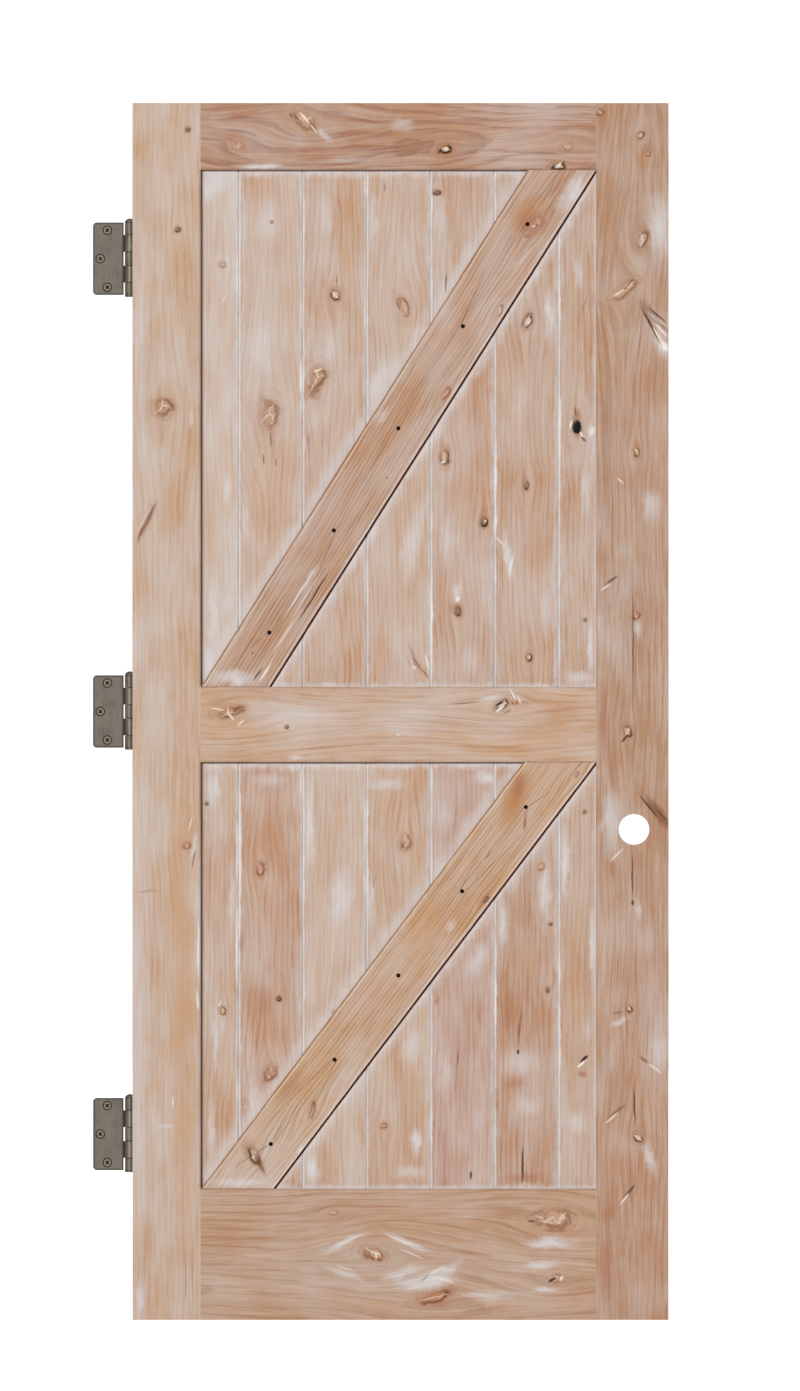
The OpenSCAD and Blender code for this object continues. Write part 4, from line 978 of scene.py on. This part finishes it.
def antique_pewter(hinge, leaf):
    """Dull plated steel: fine upright brush lines, and painted shade along the edges, in the necks and
    round the countersinks.
    """
    low, high = millimetres(f"{hinge}_hinge_jamb_leaf")
    if leaf == "jamb_leaf":
        pin, side = high.x - BARREL_R, 0
    else:
        pin, side = millimetres(f"{hinge}_hinge_door_leaf")[1].y - BARREL_R, 1
    material, t = bare_material(f"antique pewter, {hinge} {leaf.replace('_', ' ')}")
    place = add(t, "TexCoord", out="Object")
    place = add(t, "VectorMath", {0: place, 1: TO_MM}, operation="MULTIPLY")
    # brush lines 1 mm apart and 70 mm long, coarser than the real ones so that they show
    lines = add(t, "VectorMath", {0: place, 1: BRUSHED}, operation="MULTIPLY")
    lines = add(t, "TexNoise", {"Vector": lines, "Scale": 1.0, "Detail": 3.0, "Roughness": 0.6})
    cloud = add(t, "TexNoise", {"Vector": place, "Scale": 1 / PATINA_PATCH, "Detail": 2.0})
    tone = add(t, "Math", {0: lines, 1: cloud}, operation="ADD")
    tone = add(t, "MapRange", {0: tone, 1: 0.75, 2: 1.25, 3: 0.0, 4: 1.0})
    colour = add(t, "Mix", {0: tone, 6: linear(PEWTER_LOW), 7: linear(PEWTER_HIGH)},
                 out=2, data_type="RGBA")
    *flat, z = add(t, "SeparateXYZ", {0: place}).node.outputs
    out_from_pin = add(t, "Math", {0: pin, 1: flat[side]}, operation="SUBTRACT")
    up = add(t, "Math", {0: z, 1: (low.z + high.z) / 2}, operation="SUBTRACT")
    up = add(t, "Math", {0: up}, operation="ABSOLUTE")
    to_end = add(t, "Math", {0: LEAF_HALF_H, 1: up}, operation="SUBTRACT")
    to_far = add(t, "Math", {0: LEAF_W, 1: out_from_pin}, operation="SUBTRACT")
    to_neck = add(t, "Math", {0: out_from_pin, 1: LEAF_NECK}, operation="SUBTRACT")
    rim = add(t, "Math", {0: to_end, 1: to_far}, operation="MINIMUM")
    rim = add(t, "Math", {0: rim, 1: to_neck}, operation="MINIMUM")
    # painted shade along the rims, round each countersunk head and in the neck, where shadow falls
    painted_shade = add(t, "MapRange", {0: rim, 1: 0.8, 2: 4.2, 3: 0.75, 4: 0.0}, interpolation_type="SMOOTHSTEP")
    for far, high_up in LEAF_SCREWS:
        countersink_shadow = add(t, "CombineXYZ", {0: out_from_pin, 1: up})
        countersink_shadow = add(t, "VectorMath", {0: countersink_shadow, 1: (far, high_up, 0.0)}, out="Value",
                    operation="DISTANCE")
        countersink_shadow = add(t, "Math", {0: countersink_shadow, 1: COUNTERSINK_R}, operation="SUBTRACT")
        countersink_shadow = add(t, "Math", {0: countersink_shadow}, operation="ABSOLUTE")
        countersink_shadow = add(t, "MapRange", {0: countersink_shadow, 1: 0.8, 2: 1.8, 3: 1.0, 4: 0.0})
        painted_shade = add(t, "Math", {0: painted_shade, 1: countersink_shadow}, operation="MAXIMUM")
    neck = add(t, "MapRange", {0: to_neck, 1: -0.6, 2: 0.4, 3: 1.0, 4: 0.0})
    painted_shade = add(t, "Math", {0: painted_shade, 1: neck}, operation="MAXIMUM")
    colour = add(t, "Mix", {0: painted_shade, 6: colour, 7: linear(PAINTED_SHADE_TONE)}, out=2, data_type="RGBA")
    # the rolled barrel is rubbed lighter, with dark lines where knuckles meet
    rubbed = add(t, "Math", {0: out_from_pin}, operation="ABSOLUTE")
    rubbed = add(t, "MapRange", {
        0: rubbed, 1: BARREL_R - RUB_FADE, 2: BARREL_R + RUB_FADE, 3: 1.0, 4: 0.0,
    })
    barrel = add(t, "Mix", {0: tone, 6: linear(RUBBED_LOW), 7: linear(RUBBED_HIGH)},
                 out=2, data_type="RGBA")
    colour = add(t, "Mix", {0: rubbed, 6: colour, 7: barrel}, out=2, data_type="RGBA")
    for end in (*KNUCKLE_ENDS, LEAF_HALF_H):
        seam = add(t, "Math", {0: up, 1: end}, operation="SUBTRACT")
        seam = add(t, "Math", {0: seam}, operation="ABSOLUTE")
        seam = add(t, "MapRange", {0: seam, 1: 0.5, 2: 1.7, 3: 0.8, 4: 0.0})
        seam = add(t, "Math", {0: seam, 1: rubbed}, operation="MULTIPLY")
        colour = add(t, "Mix", {0: seam, 6: colour, 7: linear(SEAM_DIRT)}, out=2, data_type="RGBA")
    rough = add(t, "MapRange", {0: tone, 1: 0.0, 2: 1.0, 3: 0.42, 4: 0.56})
    bump = add(t, "Bump", {"Strength": 0.25, "Distance": BRUSH_DEEP, "Height": lines})
    # the patina dulls the steel, so that it is metallic only in part
    shader = add(t, "BsdfPrincipled", {
        "Base Color": colour, "Metallic": 0.6, "Roughness": rough, "Normal": bump,
    })
    add(t, "OutputMaterial", {"Surface": shader})
    return material


for hinge in HINGES:
    jamb_plating = antique_pewter(hinge, "jamb_leaf")
    for part in ("jamb_leaf", "pin", "tip"):
        coat(f"{hinge}_hinge_{part}", jamb_plating)
    coat(f"{hinge}_hinge_door_leaf", antique_pewter(hinge, "door_leaf"))

# Hinge screws: three flat-head wood screws in each leaf, plated as the hinges are. Those in the
# stile's edge show their heads alone and keep their solids. Those in the free leaves show behind
# them too, so they are made here with their threads, and take the place of their solids.
HEAD_R = 6.5
# The cross recess stands askew, turned about X or Y, whichever way the screws are driven
CROSS_ASKEW = math.radians(45)
CROSS_TURN = {0: (CROSS_ASKEW, 0.0, 0.0), 1: (0.0, CROSS_ASKEW, 0.0)}
# Width of the rubbed specks on a head, in mm
SCREW_SPECK = 1.25


def screw_places(node, axis):
    """Where the three screws of a leaf stand, across the leaf and up; axis is the way they are driven."""
    low, high = millimetres(node)
    far = low[1 - axis] + HEAD_R
    near = far + LEAF_SCREWS[1][0] - LEAF_SCREWS[0][0]
    return [(near, low.z + HEAD_R), (far, (low.z + high.z) / 2), (near, high.z - HEAD_R)]


def screw_pewter(node, axis):
    """Plated screw heads, rubbed pale, with painted shade, near black, in and round the cross recess."""
    face = millimetres(node)[0][axis]
    material, t = bare_material("antique pewter, " + node.replace("_", " "))
    place = add(t, "TexCoord", out="Object")
    place = add(t, "VectorMath", {0: place, 1: TO_MM}, operation="MULTIPLY")
    speck = add(t, "TexNoise", {"Vector": place, "Scale": 1 / SCREW_SPECK, "Detail": 3.0})
    tone = add(t, "MapRange", {0: speck, 1: 0.3, 2: 0.7, 3: 0.0, 4: 1.0})
    colour = add(t, "Mix", {0: tone, 6: linear("#675E4E"), 7: linear("#827864")}, out=2, data_type="RGBA")
    # painted shade fills the recess from just under the head's face down to its floor, in mm
    deep = add(t, "SeparateXYZ", {0: place}).node.outputs[axis]
    deep = add(t, "Math", {0: deep, 1: face}, operation="SUBTRACT")
    into = add(t, "MapRange", {0: deep, 1: 0.1, 2: 0.4, 3: 0.0, 4: 1.0})
    past = add(t, "MapRange", {0: deep, 1: 2.1, 2: 2.4, 3: 1.0, 4: 0.0})
    painted_shade = add(t, "Math", {0: into, 1: past}, operation="MULTIPLY")
    for across, up in screw_places(node, axis):
        centre = (0.0, across, up) if axis == 0 else (across, 0.0, up)
        arms = add(t, "Mapping", {"Vector": place, "Location": centre, "Rotation": CROSS_TURN[axis]},
                   vector_type="TEXTURE")
        arms = add(t, "VectorMath", {0: arms}, operation="ABSOLUTE")
        *flat, tall = add(t, "SeparateXYZ", {0: arms}).node.outputs
        wide = flat[1 - axis]
        short = add(t, "Math", {0: wide, 1: tall}, operation="MINIMUM")
        long = add(t, "Math", {0: wide, 1: tall}, operation="MAXIMUM")
        # and spreads a little past the cross on the head's face
        short = add(t, "MapRange", {0: short, 1: 1.1, 2: 1.6, 3: 1.0, 4: 0.0})
        long = add(t, "MapRange", {0: long, 1: 3.7, 2: 4.3, 3: 1.0, 4: 0.0})
        cross = add(t, "Math", {0: short, 1: long}, operation="MULTIPLY")
        cross = add(t, "Math", {0: cross, 1: past}, operation="MULTIPLY")
        painted_shade = add(t, "Math", {0: painted_shade, 1: cross}, operation="MAXIMUM")
    colour = add(t, "Mix", {0: painted_shade, 6: colour, 7: linear("#070605")}, out=2, data_type="RGBA")
    rough = add(t, "MapRange", {0: tone, 1: 0.0, 2: 1.0, 3: 0.38, 4: 0.52})
    shader = add(t, "BsdfPrincipled", {"Base Color": colour, "Metallic": 0.6, "Roughness": rough})
    add(t, "OutputMaterial", {"Surface": shader})
    return material


# Sizes of a screw in mm; the recess narrows to a share of its width, and a thread's flank is a share
# of its pitch
SCREW_L, SHANK_R, HEAD_H, POINT_L = 32.0, 2.7, 2.9, 7.0
RECESS_HALF, SLOT_HALF, RECESS_DEEP, RECESS_TAPER = 3.7, 0.85, 2.0, 0.6
THREAD_FROM, THREAD_PITCH, THREAD_DEEP, THREAD_FLANK = 9.0, 2.6, 0.75, 0.2
# Points round a screw, the angle from one to the next, and the least angle of a sharp edge, in degrees
STEPS = 24
STEP_TURN = 360 / STEPS
SHARP_FROM = 30


def wood_screw(mesh, head_x, head_y, head_z):
    """One flat-head wood screw driven along Y: cross recess, cone, plain neck, thread and point."""

    def spot(r, angle, deep):
        x, z = head_x + r * math.cos(angle), head_z + r * math.sin(angle)
        return mesh.verts.new((x / 1000, (head_y + deep) / 1000, z / 1000))

    def ring(r, deep):
        return [spot(r, math.radians(STEP_TURN * (i + 1)), deep) for i in range(STEPS)]

    def recess(scale, deep):
        half_way = (RECESS_HALF + SLOT_HALF) / 2
        arm = [
            (half_way, -SLOT_HALF), (RECESS_HALF, -SLOT_HALF), (RECESS_HALF, 0.0),
            (RECESS_HALF, SLOT_HALF), (half_way, SLOT_HALF), (SLOT_HALF, SLOT_HALF),
        ]
        spots = []
        for quarter in range(4):
            for out, side in arm:
                angle = CROSS_ASKEW + math.radians(90 * quarter) + math.atan2(side, out)
                spots.append(spot(scale * math.hypot(out, side), angle, deep))
        return spots

    loops = [
        recess(RECESS_TAPER, RECESS_DEEP), recess(1.0, 0.0), ring(HEAD_R, 0.0),
        ring(SHANK_R, HEAD_H), ring(SHANK_R, THREAD_FROM),
    ]
    mesh.faces.new(loops[0])
    for inner, outer in zip(loops, loops[1:]):
        for i in range(STEPS):
            j = (i + 1) % STEPS
            mesh.faces.new((inner[i], inner[j], outer[j], outer[i]))
    # the thread is one strip wound round the core: its last edge meets the first edge of the next turn
    strip = []
    root = SHANK_R - THREAD_DEEP
    turns = int((SCREW_L - THREAD_FROM) / THREAD_PITCH * STEPS) - STEPS
    for k in range(turns + 1):
        middle = THREAD_FROM + THREAD_PITCH * (0.5 + k / STEPS)
        row = []
        for r, share in ((root, -0.5), (root, -THREAD_FLANK), (SHANK_R, 0.0), (root, THREAD_FLANK)):
            deep = middle + share * THREAD_PITCH
            point = min(1.0, (SCREW_L - deep) / POINT_L)
            row.append(spot(r * point, math.radians(STEP_TURN * (k + 1)), deep))
        strip.append(row)
    neck = loops[-1]
    for k in range(STEPS):
        mesh.faces.new((neck[k], neck[(k + 1) % STEPS], strip[k + 1][0], strip[k][0]))
    mesh.faces.new((neck[0], *strip[0], strip[STEPS][0]))
    for k in range(turns):
        for j in range(3):
            mesh.faces.new((strip[k][j], strip[k + 1][j], strip[k + 1][j + 1], strip[k][j + 1]))
        if k + STEPS < turns:
            mesh.faces.new((strip[k][3], strip[k + 1][3], strip[k + 1 + STEPS][0], strip[k + STEPS][0]))
    tip = spot(0.0, 0.0, SCREW_L)
    rim = [row[3] for row in strip[turns - STEPS :]] + strip[turns][2::-1]
    for one, other in zip(rim, rim[1:] + rim[:1]):
        mesh.faces.new((one, other, tip))


def threaded_screws(hinge, plating):
    """The three screws of a free leaf, which show behind it, in place of their plain solids."""
    node = f"{hinge}_hinge_jamb_screws"
    build = bmesh.new()
    for x, z in screw_places(node, 1):
        wood_screw(build, x, millimetres(node)[0].y, z)
    bmesh.ops.recalc_face_normals(build, faces=build.faces)
    mesh = bpy.data.meshes.new(f"{hinge}_hinge_threaded_screws")
    build.to_mesh(mesh)
    build.free()
    mesh.shade_smooth()
    mesh.set_sharp_from_angle(angle=math.radians(SHARP_FROM))
    mesh.materials.append(plating)
    piece = bpy.data.objects.new(mesh.name, mesh)
    bpy.context.scene.collection.objects.link(piece)
    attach(piece, "jamb_leaves")
    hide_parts(node)


for hinge in HINGES:
    coat(f"{hinge}_hinge_door_screws", screw_pewter(f"{hinge}_hinge_door_screws", 0))
    jamb_plating = screw_pewter(f"{hinge}_hinge_jamb_screws", 1)
    coat(f"{hinge}_hinge_jamb_screws", jamb_plating)
    threaded_screws(hinge, jamb_plating)

# Floor: a flat sheet of pale studio paper, which reaches far past the picture on every side.
# Paper is matt and nearly white. It shines for the camera, so that the ground stays plain white.
FLOOR_HALF = 40
PAPER_SHINE = 0.85
floor_mesh = bpy.data.meshes.new("floor")
corners = [(x * FLOOR_HALF, y * FLOOR_HALF, 0) for x, y in ((-1, -1), (1, -1), (1, 1), (-1, 1))]
floor_mesh.from_pydata(corners, [], [(0, 1, 2, 3)])
floor = bpy.data.objects.new("floor", floor_mesh)
bpy.context.scene.collection.objects.link(floor)
paper, tree = bare_material("pale studio paper")
seen = add(tree, "LightPath", out="Is Camera Ray")
shine = add(tree, "Math", {0: seen, 1: PAPER_SHINE}, operation="MULTIPLY")
shader = add(tree, "BsdfPrincipled", {
    "Base Color": linear("#EDEDED"), "Roughness": 0.9, "Specular IOR Level": 0.0,
    "Emission Color": linear("#FFFFFF"), "Emission Strength": shine,
})
add(tree, "OutputMaterial", {"Surface": shader})
floor_mesh.materials.append(paper)

# Light: a soft key lamp from the upper left in front, another behind so that the back isn't dark,
# and an even white fill from all round, which the camera sees as a white backdrop.
FILL, BACKDROP = 0.31, 1.05
world = bpy.data.worlds.new("studio")
world.use_nodes = True
bpy.context.scene.world = world
tree = world.node_tree
tree.nodes.clear()
seen = add(tree, "LightPath", out="Is Camera Ray")
strength = add(tree, "MapRange", {0: seen, 1: 0.0, 2: 1.0, 3: FILL, 4: BACKDROP})
sky = add(tree, "Background", {"Color": linear("#FFFFFF"), "Strength": strength})
add(tree, "OutputWorld", {"Surface": sky})


def key_light(name, towards, strength, angle):
    """A far soft lamp that shines along a direction; its angle in degrees sets how soft."""
    lamp = bpy.data.lights.new(name, "SUN")
    lamp.energy = strength
    lamp.angle = math.radians(angle)
    holder = bpy.data.objects.new(name, lamp)
    holder.rotation_euler = Vector(towards).to_track_quat("-Z", "Y").to_euler()
    bpy.context.scene.collection.objects.link(holder)


key_light("front key", towards=(0.28, 1.0, -0.24), strength=1.95, angle=4)
key_light("back key", towards=(-0.5, -1.0, -0.45), strength=2.0, angle=8)

# Camera: it looks straight at the braced face from far off, so that nothing tapers, and takes in
# the same frame as the photograph.
VIEW_W, VIEW_H = 800, 1391
FRAME_H = VIEW_H * PHOTO_MM_Z / 1000
AWAY, SIGHT = 60.0, 200.0
middle_x, middle_z = on_door(VIEW_W / 2, VIEW_H / 2)
lens = bpy.data.cameras.new("front view")
lens.sensor_width = 36.0
lens.lens = lens.sensor_width * AWAY / FRAME_H
lens.clip_end = SIGHT
camera = bpy.data.objects.new("front view", lens)
camera.location = (middle_x / 1000, cad_low.y - AWAY, middle_z / 1000)
camera.rotation_euler = (math.radians(90), 0.0, 0.0)
bpy.context.scene.collection.objects.link(camera)
bpy.context.scene.camera = camera
bpy.context.scene.view_settings.view_transform = "Standard"
